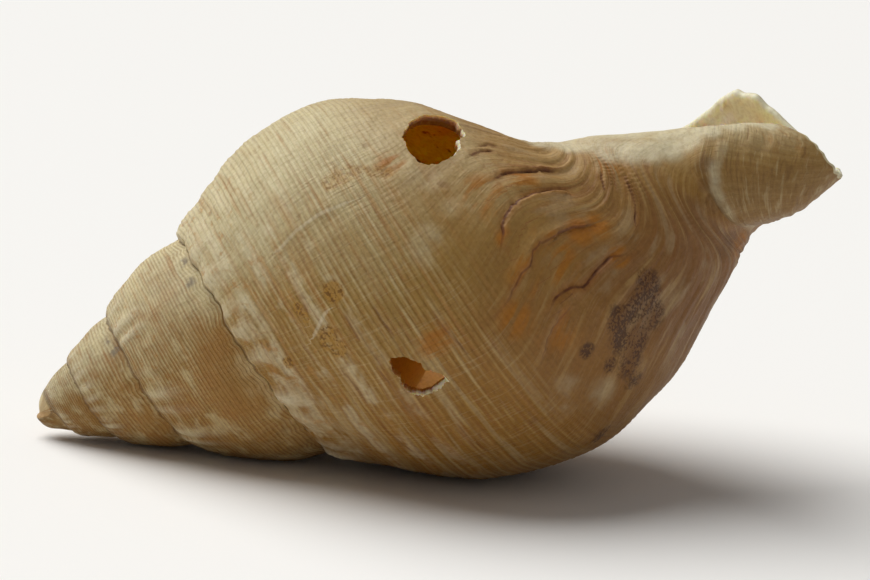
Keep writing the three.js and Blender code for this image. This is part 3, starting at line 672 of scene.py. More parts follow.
        loop.append((last, j)); pts.append(P[last, j]); g.append(unit(P0[last, j] - P0[last + 4, j])); n.append(nrm(last, j)); th.append(0.0)
        ro.append(LIP_ROUND * 0.5); ka.append(3 + (1.6 - tg[last, j]) / (1.6 - tg[last, MA]))
    pts, g, n = np.array(pts), np.array(g), np.array(n)
    th, ro, ka = np.radians(th), np.array(ro), np.array(ka)
    th[0], ro[0], g[0] = 0.0, 1.5, -g[0]
    span = 60
    lo, hi = max(1, corner_k - span), corner_k + span
    for _ in range(220):
        for A in (g, n):
            B = A.copy()
            B[lo:hi] = unit(0.25 * A[lo - 1:hi - 1] + 0.5 * A[lo:hi] + 0.25 * A[lo + 1:hi + 1])
            A[:] = B
    g = unit(g - n * np.sum(g * n, 1, keepdims=True))
    K = len(loop)
    flat = (1 - np.sin(th)) * (th < 1.6) * np.cos(th).clip(0, 1)

    def rim(f):
        a = th * f
        return pts + ro[:, None] * ((np.sin(a) + flat * f)[:, None] * g - (1 - np.cos(a))[:, None] * n)

    full = rim(1.0)
    u1, u2 = full[1] - pts[0], full[-1] - pts[0]
    corner0 = 0.5 * (u1 + u2 * np.linalg.norm(u1) / np.linalg.norm(u2)) + g[0] * 1.5
    row = [idx[a] for a in loop]
    cat = [cattr]

    def add_vertices(Q):
        base = len(V)
        V.extend(Q)
        for a in ZV:
            a.extend(np.zeros((len(Q), 3)))
        return list(range(base, base + len(Q)))

    def tri_attr(depths):
        """depth (0 outside, 1 at the rim, then deeper) at each corner"""
        d = np.asarray(depths, float).reshape(-1, 1)
        return np.concatenate([np.zeros((len(d), 4)), d, np.zeros_like(d)], 1)

    NR = 4
    deps, prev_d, uq = [], 0.02, []
    for a in range(1, NR + 1):
        Q = rim(a / NR)
        Q[0] = pts[0] + corner0 * a / NR
        Q = Q + 0.25 * noise(Q[:, 0] / 5, Q[:, 1] / 5, Q[:, 2] / 5)[:, None] * n
        new = add_vertices(Q)
        d1 = a / NR
        v0, v1 = 0.17 + 0.02 * (a - 1) / NR, 0.17 + 0.02 * a / NR
        for k in range(K):
            k2 = (k + 1) % K
            ua, ub = 0.005 + 0.7 * k / K, 0.005 + 0.7 * (k + 1) / K
            tris.append((row[k], new[k], new[k2])); deps += [prev_d, d1, d1]; uq += [(ua, v0), (ua, v1), (ub, v1)]
            tris.append((row[k], new[k2], row[k2])); deps += [prev_d, d1, prev_d]; uq += [(ua, v0), (ub, v1), (ub, v0)]
        row, prev_d = new, d1
    inner = Q
    # ---- coarser loop for the hollow
    KC = 144
    fine_len = np.concatenate([[0], np.cumsum(np.linalg.norm(np.diff(inner, axis=0), axis=1))])
    lens = np.linspace(0, fine_len[-1] + np.linalg.norm(inner[0] - inner[-1]), KC + 1)[:-1]
    kk = np.interp(lens, fine_len, np.arange(K))
    f = kk - np.floor(kk); a = np.floor(kk).astype(int); b = np.minimum(a + 1, K - 1)
    lerp = lambda A: A[a] * (1 - f.reshape((-1,) + (1,) * (A.ndim - 1))) + A[b] * f.reshape((-1,) + (1,) * (A.ndim - 1))
    pin, gc, nc, thc, kac = lerp(inner), unit(lerp(g)), unit(lerp(n)), lerp(th), lerp(ka)
    kac[0] = 0.0
    phs = LIP - math.radians(30)
    q0, q1 = section(phs, kac), section(phs - 0.05, kac)
    L = np.linalg.norm(q0 - pin, axis=1, keepdims=True)
    D = (np.cos(thc)[:, None] * gc - np.sin(thc)[:, None] * nc) * L
    T = unit(q1 - q0) * L
    hermite = lambda s: (2 * s ** 3 - 3 * s ** 2 + 1) * pin + (s ** 3 - 2 * s ** 2 + s) * D + (-2 * s ** 3 + 3 * s ** 2) * q0 + (s ** 3 - s ** 2) * T
    NB = 9
    steps = [hermite(s) for s in np.linspace(0, 1, NB + 1)[1:] ** 1.15]
    # zipper from the fine rim to the first coarse row
    new = add_vertices(steps[0])
    i, j = 0, 0
    d1 = 1.12
    whole = fine_len[-1] + np.linalg.norm(inner[0] - inner[-1])
    fl, cl_ = np.append(fine_len, whole), np.append(lens, whole)
    uf = lambda q: 0.005 + 0.69 * q / whole
    while i < K or j < KC:
        if j >= KC or (i < K and fl[i + 1] <= cl_[j + 1]):
            tris.append((row[i % K], new[j % KC], row[(i + 1) % K])); deps += [1.0, d1, 1.0]
            uq += [(uf(fl[i]), 0.005), (uf(cl_[j]), 0.008), (uf(fl[i + 1]), 0.005)]
            i += 1
        else:
            tris.append((row[i % K], new[j % KC], new[(j + 1) % KC])); deps += [1.0, d1, d1]
            uq += [(uf(fl[i]), 0.005), (uf(cl_[j]), 0.008), (uf(cl_[j + 1]), 0.008)]
            j += 1
    row, prev_d = new, d1
    ring_rows = [(Q, 1.12 + 0.88 * (b + 1) / (NB - 1)) for b, Q in enumerate(steps[1:])]
    ph, dp = phs, math.radians(8)
    end = math.radians(-420)
    while ph > end:
        step = dp if ph > math.radians(-150) else 2 * dp
        ph -= step
        Q = section(ph, kac)
        ring_rows.append((Q, 2.0 + (phs - ph) * 0.12))
    for q, (Q, d1) in enumerate(ring_rows):
        new = add_vertices(Q)
        v0, v1 = 0.008 + 0.155 * q / len(ring_rows), 0.008 + 0.155 * (q + 1) / len(ring_rows)
        for k in range(KC):
            k2 = (k + 1) % KC
            ua, ub = uf(cl_[k]), uf(cl_[k + 1])
            tris.append((row[k], new[k], new[k2])); deps += [prev_d, d1, d1]; uq += [(ua, v0), (ua, v1), (ub, v1)]
            tris.append((row[k], new[k2], row[k2])); deps += [prev_d, d1, prev_d]; uq += [(ua, v0), (ub, v1), (ub, v0)]
        row, prev_d = new, d1
    c = section(ph, np.array([0.45, 3.45])).mean(0)
    tip = add_vertices([c])[0]
    for k in range(KC):
        tris.append((row[k], tip, row[(k + 1) % KC])); deps += [prev_d] * 3; uq += [(uf(cl_[k]), 0.163), (uf(cl_[k]), 0.167), (uf(cl_[k + 1]), 0.163)]
    cat.append(tri_attr(deps))
    uvs.append(np.array(uq))
    # ---- worn tip
    ring = [(i, 0) for i in range(0, TURN) if exist[i, 0]] + [(0, j) for j in range(MA, 0, -1) if exist[0, j]]
    rp = np.array([P[q] for q in ring]); mid = rp.mean(0)
    row = [idx[q] for q in ring]
    n2 = len(ring)
    cap, uq = [], []
    disc = lambda k, s: (0.85 + 0.04 * (1 - s) * math.cos(2 * PI * k / n2), 0.12 + 0.04 * (1 - s) * math.sin(2 * PI * k / n2))
    last_s = 0.0
    p0 = phi[[q[0] for q in ring]]
    at = lambda k: [p0[k], 12.0, WHORLS + 0.1, 0.2, 0, 0]
    for s in np.linspace(0, 1, 9)[1:-1]:
        Q = mid + (rp - mid) * math.cos(s * PI / 2) + (APEX - mid) * math.sin(s * PI / 2)
        Q = Q + 0.5 * noise(Q[:, 0] / 6, Q[:, 1] / 6, Q[:, 2] / 6)[:, None] * unit(Q - mid)
        new = add_vertices(Q)
        for k in range(n2):
            k2 = (k + 1) % n2
            tris.append((row[k2], row[k], new[k])); cap += [at(k2), at(k), at(k)]; uq += [disc(k + 1, last_s), disc(k, last_s), disc(k, s)]
            tris.append((row[k2], new[k], new[k2])); cap += [at(k2), at(k), at(k2)]; uq += [disc(k + 1, last_s), disc(k, s), disc(k + 1, s)]
        row, last_s = new, s
    top = add_vertices([APEX])[0]
    for k in range(n2):
        tris.append((row[(k + 1) % n2], row[k], top)); cap += [at(k), at(k), at(k)]; uq += [disc(k + 1, last_s), disc(k, last_s), disc(k, 1.0)]
    cat.append(np.array(cap, float))
    uvs.append(np.array(uq))
    V, tris = np.array(V), np.array(tris)
    # the tip is worn round
    near = np.nonzero(V[:, 0] < 46)[0]
    loc = -np.ones(len(V), int); loc[near] = np.arange(len(near))
    e = np.concatenate([tris[:, [0, 1]], tris[:, [1, 2]], tris[:, [2, 0]]])
    e = e[(loc[e[:, 0]] >= 0) & (loc[e[:, 1]] >= 0)]
    a, b = loc[e[:, 0]], loc[e[:, 1]]
    w = (1 - smooth(14, 36, V[near, 0]))[:, None]
    Q = V[near]
    for _ in range(60):
        acc, cnt = np.zeros_like(Q), np.zeros(len(Q))
        np.add.at(acc, a, Q[b]); np.add.at(acc, b, Q[a])
        np.add.at(cnt, a, 1); np.add.at(cnt, b, 1)
        Q = Q + 0.5 * w * (acc / np.maximum(cnt, 1)[:, None] - Q)
    V[near] = Q
    return V, tris, np.concatenate(cat), [np.array(a) for a in ZV], np.concatenate(uvs), G


# ------------------------------------------------------------------ shell units -> metres in the row frame
up = unit(-DOWN)
ex = unit(np.array([1.0, 0, 0]) - up * up[0])
ey = np.cross(up, ex)
ROT = np.stack([ex, ey, up])
ORIGIN = np.array([393.10970, 25.55585, -18.90184])


def world(P):
    return (np.asarray(P, float) @ ROT.T - ORIGIN) * UNIT


def rotation(axis, a):
    c, s = math.cos(a), math.sin(a)
    return np.array({"x": [[1, 0, 0], [0, c, -s], [0, s, c]], "y": [[c, 0, s], [0, 1, 0], [-s, 0, c]], "z": [[c, -s, 0], [s, c, 0], [0, 0, 1]]}[axis])


VIEW = rotation("z", 0.38659) @ rotation("x", 0.06468) @ rotation("y", -0.06659)     # rows: right, up, towards the camera


def make_mesh(name, P, T, corner_a, corner_b, zones, uv):
    me = bpy.data.meshes.new(name)
    me.vertices.add(len(P)); me.vertices.foreach_set("co", np.ascontiguousarray(P, dtype=np.float32).ravel())
    me.loops.add(len(T) * 3); me.loops.foreach_set("vertex_index", np.ascontiguousarray(T, dtype=np.int32).ravel())
    me.polygons.add(len(T))
    me.polygons.foreach_set("loop_start", np.arange(0, len(T) * 3, 3, dtype=np.int32))
    me.update(calc_edges=True)
    me.validate()
    for nm, dom, data in [("spiral", "CORNER", corner_a), ("inner", "CORNER", corner_b)] + [("zone%d" % k, "CORNER", z[np.asarray(T).ravel()]) for k, z in enumerate(zones)]:
        at = me.attributes.new(nm, "FLOAT_VECTOR", dom)
        at.data.foreach_set("vector", np.ascontiguousarray(data, dtype=np.float32).ravel())
    layer = me.uv_layers.new(name="OFBake")
    layer.data.foreach_set("uv", np.ascontiguousarray(uv, dtype=np.float32).ravel())
    ob = bpy.data.objects.new(name, me)
    bpy.context.scene.collection.objects.link(ob)
    return ob


def cutter(k, hole):
    """an irregular plug the shape of one hole, chipped wider near the surface where the edge is bevelled"""
    nrm = unit(np.array(hole["normal"]))
    pts = np.array(hole["outline"])
    c = pts.mean(0)
    e1 = unit(VIEW[0] - nrm * (VIEW[0] @ nrm))
    e2 = np.cross(nrm, e1)
    e2 = e2 if e2 @ VIEW[1] > 0 else -e2
    d = pts - c
    ang = np.arctan2(d @ e2, d @ e1)
    order = np.argsort(ang)
    ang, rad, hgt = ang[order], np.hypot(d @ e1, d @ e2)[order], (d @ nrm)[order]
    n = 132
    q = np.linspace(-PI, PI, n, endpoint=False)
    wrap = lambda A: np.interp(q, np.concatenate([ang - 2 * PI, ang, ang + 2 * PI]), np.tile(A, 3))
    sm = lambda A: (np.roll(A, 1) + 2 * A + np.roll(A, -1)) / 4
    r, hh = wrap(rad), wrap(hgt)
    for _ in range(3):
        r, hh = sm(r), sm(hh)
    r = r + 0.9 * noise(q * 6.0, hole["seed"]) + 0.7 * noise(q * 15.0, hole["seed"] + 5) + 0.35 * noise(q * 34.0, hole["seed"] + 9)
    bev = np.zeros(n)
    for a, wdt, spread in hole["bevel"]:
        da = (np.degrees(q) - a + 180) % 360 - 180
        bev = np.maximum(bev, wdt * np.exp(-(da / spread) ** 2))
    bev = bev * (0.75 + 0.45 * noise(q * 11.0, hole["seed"] + 2)) + 0.5
    depth = [-24, -6, -1.5, 0.3, 1.5, 3.0, 4.5, 6.5, 9, 12, 15, 20, 30]
    P, wh, dd = [], [], []
    for s in depth:
        f = np.clip(1 - (s + 1.0) / hole["bevel_depth"], 0, 3.0)
        flare = bev * np.minimum(f, 1.3) + (0.15 * max(s, 0) * 0.5)
        rough = (0.75 if s > 0 else 0.2) * noise(q * 14.0, s * 0.35 + hole["seed"]) + 0.4 * noise(q * 30.0, s * 0.8, 3.0)
        rr = r + flare + rough * (s > -3)
        P.append(c + np.outer(rr * np.cos(q), e1) + np.outer(rr * np.sin(q), e2) + np.outer(hh - s, nrm))
        wh.append(np.clip(bev / 3.5, 0, 1) * (1 - smooth(0.75, 1.25, s / hole["bevel_depth"])) + 0.25 * (s < 1.6))
        dd.append(np.full(n, float(max(s, 0))))
    m = len(depth)
    V2 = np.concatenate(P + [[c + nrm * 24], [c - nrm * 30]])
    wh, dd = np.concatenate(wh + [[0, 0]]), np.concatenate(dd + [[0, 30]])
    hand = 1 if np.cross(e1, e2) @ nrm > 0 else -1
    T = []
    for a in range(m - 1):
        for b in range(n):
            b2 = (b + 1) % n
            p0, p1, p2, p3 = a * n + b, a * n + b2, (a + 1) * n + b2, (a + 1) * n + b
            T += [(p0, p3, p2), (p0, p2, p1)]
    for b in range(n):
        b2 = (b + 1) % n
        T.append((m * n, b, b2))
        T.append((m * n + 1, (m - 1) * n + b2, (m - 1) * n + b))
    T = np.array(T)
    if hand < 0:
        T = T[:, ::-1]
    flat = T.ravel()
    ca = np.zeros((len(flat), 3))
    cb = np.stack([dd[flat], np.zeros(len(flat)), 1 + wh[flat]], -1)
    qq = np.concatenate([np.tile((q + PI) / (2 * PI), m), [0.5, 0.5]])[flat].reshape(-1, 3)
    low = (qq.max(1) - qq.min(1)) > 0.5
    qq[low] = np.where(qq[low] < 0.5, qq[low] + 1, qq[low])
    ss_ = np.concatenate([np.repeat(np.array(depth, float), n), [-24, 30]])[flat]
    uv = np.stack([0.72 + 0.27 * qq.ravel() / 1.02, 0.005 + 0.030 * k + 0.025 * (ss_ + 24) / 54], -1)
    return make_mesh("cut%d" % k, world(V2), T, ca, cb, [np.zeros((len(V2), 3))] * 5, uv)


V, TRI, CORNER, ZONES, UVS, G = build_shell()
W = world(V)
W[:, 2] = np.maximum(W[:, 2], 0.0)
shell = make_mesh("sea_snail_shell", W, TRI, CORNER[:, :3], CORNER[:, 3:6], ZONES, UVS)
for k, hole in enumerate(HOLES):
    cut = cutter(k, hole)
    m = shell.modifiers.new("hole", "BOOLEAN")
    m.operation, m.solver, m.object = "DIFFERENCE", "EXACT", cut
    dg = bpy.context.evaluated_depsgraph_get()
    me = bpy.data.meshes.new_from_object(shell.evaluated_get(dg), preserve_all_data_layers=True, depsgraph=dg)
    shell.modifiers.clear()
    shell.data = me
    cm = cut.data
    bpy.data.objects.remove(cut)
    bpy.data.meshes.remove(cm)
me = shell.data
me.name = "sea_snail_shell"
me.polygons.foreach_set("use_smooth", np.ones(len(me.polygons), bool))
me.set_sharp_from_angle(angle=math.radians(58))


# ------------------------------------------------------------------ colours
def lin(r, g, b):
    f = lambda v: v / 12.92 if v <= 0.04045 else ((v + 0.055) / 1.055) ** 2.4
    return (f(r / 255), f(g / 255), f(b / 255), 1.0)


class Nodes:
    def __init__(self, mat):
        mat.use_nodes = True
        self.t = mat.node_tree
        self.t.nodes.clear()

    def new(self, kind, **props):
        n = self.t.nodes.new(kind)
        for k, v in props.items():
            setattr(n, k, v)
        return n

    def put(self, socket, v):
        if isinstance(v, (int, float)):
            socket.default_value = v
        elif isinstance(v, tuple):
            socket.default_value = v
        else:
            self.t.links.new(v, socket)

    def m(self, op, *a, clamp=False):
        n = self.new("ShaderNodeMath", operation=op, use_clamp=clamp)
        for s, v in zip(n.inputs, a):
            self.put(s, v)
        return n.outputs[0]

    def add(self, a, b): return self.m("ADD", a, b)
    def sub(self, a, b): return self.m("SUBTRACT", a, b)
    def mul(self, *a):
        r = a[0]
        for b in a[1:]:
            r = self.m("MULTIPLY", r, b)
        return r

    def mad(self, a, b, c): return self.m("MULTIPLY_ADD", a, b, c)
    def inv(self, a): return self.m("SUBTRACT", 1.0, a)
    def ramp(self, v, lo, hi, a=0.0, b=1.0):
        n = self.new("ShaderNodeMapRange", interpolation_type="SMOOTHSTEP")
        for s, q in zip(n.inputs, (v, lo, hi, a, b)):
            self.put(s, q)
        return n.outputs[0]

    def vec(self, x, y, z=0.0):
        n = self.new("ShaderNodeCombineXYZ")
        for s, q in zip(n.inputs, (x, y, z)):
            self.put(s, q)
        return n.outputs[0]

    def xyz(self, v):
        n = self.new("ShaderNodeSeparateXYZ")
        self.t.links.new(v, n.inputs[0])
        return n.outputs[0], n.outputs[1], n.outputs[2]

    def attr(self, name):
        return self.xyz(self.new("ShaderNodeAttribute", attribute_name=name).outputs["Vector"])

    def noise(self, v, scale=1.0, detail=2.0, rough=0.5):
        n = self.new("ShaderNodeTexNoise", noise_dimensions="3D")
        self.put(n.inputs["Vector"], v)
        self.put(n.inputs["Scale"], scale); self.put(n.inputs["Detail"], detail); self.put(n.inputs["Roughness"], rough)
        return n.outputs["Fac"]

    def mix(self, a, b, f):
        n = self.new("ShaderNodeMix", data_type="RGBA", clamp_factor=True)
        self.put(n.inputs[0], f); self.put(n.inputs[6], a); self.put(n.inputs[7], b)
        return n.outputs[2]

    def tint(self, a, b, f):
        n = self.new("ShaderNodeMix", data_type="RGBA", clamp_factor=True, blend_type="MULTIPLY")
        self.put(n.inputs[0], f); self.put(n.inputs[6], a); self.put(n.inputs[7], b)
        return n.outputs[2]


mat = bpy.data.materials.new("weathered_shell")
N = Nodes(mat)
phi, x, turn = N.attr("spiral")
tt, depth, cut = N.attr("inner")
cream, orange, dark = N.attr("zone0")
pit, red, grey = N.attr("zone1")
crack, strength, nod = N.attr("zone2")
pale, neck, base = N.attr("zone3")
pos = N.new("ShaderNodeTexCoord").outputs["Object"]
big = N.noise(pos, 48.0, 3.0, 0.55)
mid = N.noise(pos, 150.0, 3.0, 0.6)
fine = N.noise(pos, 900.0, 2.0, 0.6)
grain = N.noise(pos, 2400.0, 1.0, 0.5)

# spiral lines: half as many on the oldest whorls
older = N.m("GREATER_THAN", turn, 0.985)
oldest = N.m("GREATER_THAN", turn, 1.99)
early = N.ramp(turn, 0.88, 1.12)
blend = N.m("SUBTRACT", 1.0, N.mul(N.ramp(N.m("ABSOLUTE", N.sub(turn, 1.99)), 0.10, 0.0), 0.9))
f = N.m("SUBTRACT", 1.0, N.mul(oldest, 0.5))
wobble = N.mul(N.sub(N.noise(N.vec(N.mul(phi, 3.0), N.mul(x, 0.2), 2.0), 1.0, 2.0), 0.5), 0.18)
s = N.mul(N.add(x, wobble), f)
num = N.m("ROUND", s)
d = N.m("ABSOLUTE", N.sub(s, num))
dash = N.mad(older, 0.12, N.noise(N.vec(N.mul(phi, 8.0), N.mul(num, 3.37), turn), 1.0, 3.0, 0.7))
dash2 = N.mad(older, 0.12, N.noise(N.vec(N.mul(phi, 2.6), N.mul(num, 5.11), 7.0), 1.0, 1.0, 0.5))
line = N.mul(blend, N.ramp(d, 0.34, 0.08), N.ramp(dash, 0.40, 0.60), N.ramp(dash2, 0.34, 0.60))
crest = N.mul(blend, N.ramp(d, 0.22, 0.45), N.ramp(N.mad(older, 0.1, N.noise(N.vec(N.mul(phi, 4.0), N.mul(N.m("FLOOR", s), 4.71), 11.0), 1.0, 3.0, 0.6)), 0.40, 0.64))
band = N.noise(N.vec(N.mul(phi, 1.2), N.mul(s, 0.55), 3.0), 1.0, 2.0, 0.6)
patchy = N.noise(N.vec(N.mul(phi, 7.0), N.mul(x, 0.3), 41.0), 1.0, 3.0, 0.6)
# broad stripes on the shoulder
s5 = N.m("SINE", N.mul(x, 2 * PI / 5.3))
stripe = N.mul(N.ramp(s5, -0.2, 0.9), N.ramp(x, 3.0, 6.0), N.ramp(x, 32.0, 14.0), N.inv(early))
# growth lines
slant, fan, height_ = N.attr("zone4")
g1 = N.noise(N.vec(N.mul(slant, 36.0), N.mul(x, 0.07), 1.0), 1.0, 3.0, 0.6)
g2 = N.noise(N.vec(N.mul(slant, 85.0), N.mul(x, 0.14), 5.0), 1.0, 2.0, 0.6)
g3 = N.noise(N.vec(N.mul(slant, 11.0), N.mul(x, 0.05), 9.0), 1.0, 2.0, 0.6)
upper = N.ramp(x, 46.0, 32.0)
below = N.inv(upper)

# the side that faces the floor is browner and more orange: partly the shell's own tone, partly painted warm shade
w = N.mad(N.m("SINE", N.sub(phi, math.radians(85))), 0.5, 0.5)
w = N.add(w, N.mul(N.sub(big, 0.5), 0.55))
tan = N.mix(lin(202, 190, 150), lin(156, 123, 58), N.ramp(w, 0.10, 0.55))
tan = N.mix(tan, lin(146, 102, 34), N.ramp(w, 0.42, 0.95))
tan = N.mix(tan, lin(168, 120, 58), N.mul(N.ramp(band, 0.50, 0.68), 0.5))
tan = N.mix(tan, lin(208, 190, 146), N.mul(N.ramp(band, 0.48, 0.34), upper, 0.34))
# the base and underside colour, darker towards the floor side: partly its own brown, partly painted shade
warm = N.mix(lin(162, 124, 66), lin(130, 88, 42), N.ramp(w, 0.3, 0.9))
warm = N.mix(warm, lin(186, 152, 98), N.mul(N.ramp(g3, 0.52, 0.64), 0.55))
warm = N.mix(warm, lin(128, 80, 38), N.mul(N.ramp(g3, 0.46, 0.34), 0.5))
col = N.mix(tan, warm, N.m("MAXIMUM", N.mul(base, 0.9), N.mul(below, 0.5)))
# the spire is also darker and browner towards the floor side: partly its own tone, partly painted shade
col = N.mix(col, lin(176, 138, 78), N.mul(early, N.ramp(x, 6.0, 28.0), N.ramp(N.add(w, N.mul(N.sub(mid, 0.5), 0.8)), 0.2, 0.6), 0.6))
# lines
broken = N.ramp(N.noise(N.vec(N.mul(phi, 5.0), N.mul(x, 0.22), 23.0), 1.0, 3.0, 0.65), 0.42, 0.60)
col = N.mix(col, lin(222, 211, 178), N.mul(stripe, broken, 0.42))
col = N.mix(col, N.mix(lin(222, 210, 172), lin(196, 168, 106), N.ramp(w, 0.3, 0.8)), N.mul(crest, N.mul(upper, 0.32), N.inv(base)))
col = N.mix(col, lin(142, 90, 40), N.mul(line, N.mul(upper, N.mad(N.ramp(w, 0.2, 0.7), 0.18, 0.30)), N.inv(base)))
col = N.mix(col, lin(214, 194, 150), N.mul(N.ramp(g2, 0.53, 0.68), N.mad(below, -0.08, 0.14)))
col = N.mix(col, lin(146, 104, 58), N.mul(N.ramp(g2, 0.46, 0.32), N.mad(base, 0.12, 0.16)))
col = N.mix(col, lin(134, 82, 38), N.mul(N.ramp(g1, 0.54, 0.68), N.mad(base, 0.2, 0.10)))
col = N.mix(col, lin(226, 216, 186), N.mul(nod, 0.65))
col = N.mix(col, lin(216, 202, 166), N.mul(N.ramp(x, 11.0, 2.0), N.inv(early), N.ramp(patchy, 0.42, 0.60), 0.5))
blot = N.noise(N.vec(N.mul(phi, 11.0), N.mul(s, 0.42), 13.0), 1.0, 3.0, 0.65)
col = N.mix(col, lin(172, 122, 56), N.mul(N.ramp(blot, 0.55, 0.68), N.ramp(x, 26.0, 8.0), N.ramp(x, 0.5, 2.0), 0.6))
col = N.mix(col, lin(214, 202, 166), N.mul(pale, N.ramp(mid, 0.4, 0.62), 0.4))
# brown patches of the spire
patch = N.noise(N.vec(N.mul(phi, 2.4), N.mul(x, 0.11), 27.0), 1.0, 3.0, 0.62)
col = N.mix(col, lin(156, 104, 42), N.mul(early, N.ramp(patch, 0.48, 0.68), N.ramp(x, 2.0, 6.0), N.ramp(w, 0.05, 0.55, 0.22, 0.58)))
col = N.mix(col, lin(222, 206, 160), N.mul(early, N.ramp(patch, 0.50, 0.36), 0.38))
# soft clouds on the base
cloud = N.noise(N.vec(N.mul(slant, 6.0), N.mul(x, 0.09), 17.0), 1.0, 3.0, 0.6)
col = N.mix(col, lin(168, 142, 104), N.mul(base, N.ramp(cloud, 0.50, 0.64), 0.5))
col = N.mix(col, lin(126, 82, 34), N.mul(base, N.ramp(cloud, 0.46, 0.34), 0.5))
# orange and brown streaks of the base
streak = N.noise(N.vec(N.mul(slant, 19.0), N.mul(x, 0.09), 33.0), 1.0, 3.0, 0.6)
col = N.mix(col, lin(164, 102, 14), N.mul(orange, N.ramp(N.add(N.mul(streak, 0.75), N.mul(mid, 0.25)), 0.43, 0.57), 0.85))
col = N.mix(col, lin(158, 114, 50), N.mul(red, N.ramp(mid, 0.36, 0.6), 0.6))
fl = N.noise(N.vec(N.mul(N.mad(phi, 0.103, tt), 62.0), N.mul(phi, 1.6), 4.0), 1.0, 3.0, 0.6)
can = N.ramp(tt, 1.06, 1.18)
col = N.mix(col, lin(140, 110, 64), N.mul(can, N.ramp(w, 0.35, 0.75), 0.6))
col = N.mix(col, lin(206, 190, 148), N.mul(can, N.ramp(fl, 0.52, 0.66), 0.28))
col = N.mix(col, lin(122, 88, 46), N.mul(can, N.ramp(fl, 0.46, 0.34), 0.55))
# darker brown on the neck: partly the shell's own brown, partly painted shade in that hollow
col = N.mix(col, lin(96, 62, 32), N.mul(neck, N.ramp(big, 0.3, 0.5), 0.6))
# callus and ridges
col = N.mix(col, lin(220, 212, 180), N.mul(cream, N.ramp(mid, 0.12, 0.46), 0.68))
# speckles
dk = N.m("ADD", N.mul(dark, 1.25), N.mul(N.sub(N.noise(pos, 330.0, 3.0, 0.65), 0.56), 2.2), clamp=True)
dk = N.mul(dk, N.ramp(dark, 0.02, 0.3))
spk = N.ramp(N.add(N.noise(pos, 3400.0, 1.0, 0.6), N.mul(N.sub(N.noise(pos, 420.0, 2.0, 0.6), 0.5), 0.7)), 0.42, 0.60)
col = N.mix(col, lin(98, 60, 26), N.mul(dk, 0.42))
col = N.mix(col, lin(62, 30, 2), N.mul(dk, spk, 0.76))
col = N.mix(col, lin(126, 114, 98), N.mul(grey, N.ramp(fine, 0.4, 0.6), 0.8))
col = N.mix(col, lin(168, 122, 38), N.mul(N.ramp(pit, 0.0, 0.6), N.ramp(fine, 0.3, 0.5), N.ramp(N.xyz(pos)[2], 0.026, 0.034, 0.75, 0.35)))
col = N.mix(col, lin(112, 72, 18), N.mul(N.ramp(pit, 0.0, 0.6), N.ramp(N.noise(pos, 2500.0, 1.0, 0.6), 0.50, 0.62), N.ramp(N.xyz(pos)[2], 0.026, 0.034, 0.75, 0.42)))
spots_ = N.mul(N.ramp(N.noise(pos, 330.0, 2.0, 0.6), 0.68, 0.76), 0.4)
col = N.mix(col, lin(124, 84, 42), spots_)
# painted shade along the suture groove
suture_shade = N.ramp(N.mul(x, N.m("SUBTRACT", N.mad(early, -0.5, 1.0), N.mul(oldest, 0.25))), 1.3, 0.1)
col = N.mix(col, lin(104, 68, 34), N.mul(suture_shade, 0.6, N.m("LESS_THAN", depth, 0.01)))
# cracks
near = N.m("ABSOLUTE", crack)
neg = N.m("MAXIMUM", N.mul(strength, -1.0), 0.0)
pos_ = N.m("MAXIMUM", N.m("MINIMUM", strength, 1.0), 0.0)
col = N.mix(col, lin(236, 226, 200), N.mul(N.ramp(near, 2.6, 0.6), neg))
col = N.mix(col, lin(160, 92, 38), N.mul(N.ramp(near, 9.0, 1.0), pos_, 0.3))
col = N.mix(col, lin(98, 50, 26), N.mul(N.ramp(near, 1.9, 0.5), pos_, 0.85))
# inside: pale at the lip, deep amber further in
lipc = N.mix(lin(238, 236, 214), lin(222, 212, 176), N.ramp(mid, 0.45, 0.7))
deep = N.mix(lin(252, 226, 104), lin(244, 206, 70), N.ramp(big, 0.4, 0.6))
deep = N.mix(lin(204, 150, 44), deep, N.ramp(N.xyz(pos)[2], 0.021, 0.027))
deep = N.mix(deep, lin(160, 98, 30), N.mul(N.ramp(N.noise(pos, 620.0, 2.0, 0.6), 0.64, 0.72), 0.6))
mouth = N.mix(lin(236, 222, 182), lin(228, 200, 146), N.ramp(mid, 0.35, 0.65))
deep = N.mix(mouth, deep, N.ramp(depth, 1.75, 2.22))
incol = N.mix(lipc, deep, N.ramp(depth, 1.15, 1.75))
col = N.mix(col, incol, N.ramp(depth, 0.0, 0.6))
# broken edges
edge = N.mix(lin(168, 96, 14), lin(190, 126, 40), N.ramp(fine, 0.4, 0.62))
edge = N.mix(edge, lin(240, 232, 206), N.m("SUBTRACT", cut, 1.0, clamp=True))
col = N.mix(col, edge, N.m("GREATER_THAN", cut, 0.5))
# overall grain
col = N.tint(col, lin(214, 204, 186), N.mul(N.ramp(grain, 0.40, 0.68), 0.30))

rough = N.mad(mid, 0.25, 0.45)
outer = N.m("LESS_THAN", depth, 0.01)
height = N.add(N.mul(N.ramp(d, 0.30, 0.05), N.mul(upper, blend, -0.45)), N.mul(N.sub(g2, 0.5), N.mad(N.m("MAXIMUM", base, below), -0.5, 0.9)))
height = N.add(height, N.mul(N.sub(fine, 0.5), 0.7))
height = N.add(height, N.mul(N.sub(g1, 0.5), N.mad(N.m("MAXIMUM", base, below), -0.35, 0.7)))
height = N.add(height, N.mul(N.sub(fl, 0.5), N.mul(can, 1.2)))
height = N.mul(height, outer)
height = N.add(height, N.mul(N.sub(fine, 0.5), 0.3))
bump = N.new("ShaderNodeBump")
bump.inputs["Strength"].default_value = 0.8
bump.inputs["Distance"].default_value = 0.00018
N.put(bump.inputs["Height"], height)
bsdf = N.new("ShaderNodeBsdfPrincipled")
N.put(bsdf.inputs["Base Color"], col)
N.put(bsdf.inputs["Roughness"], rough)
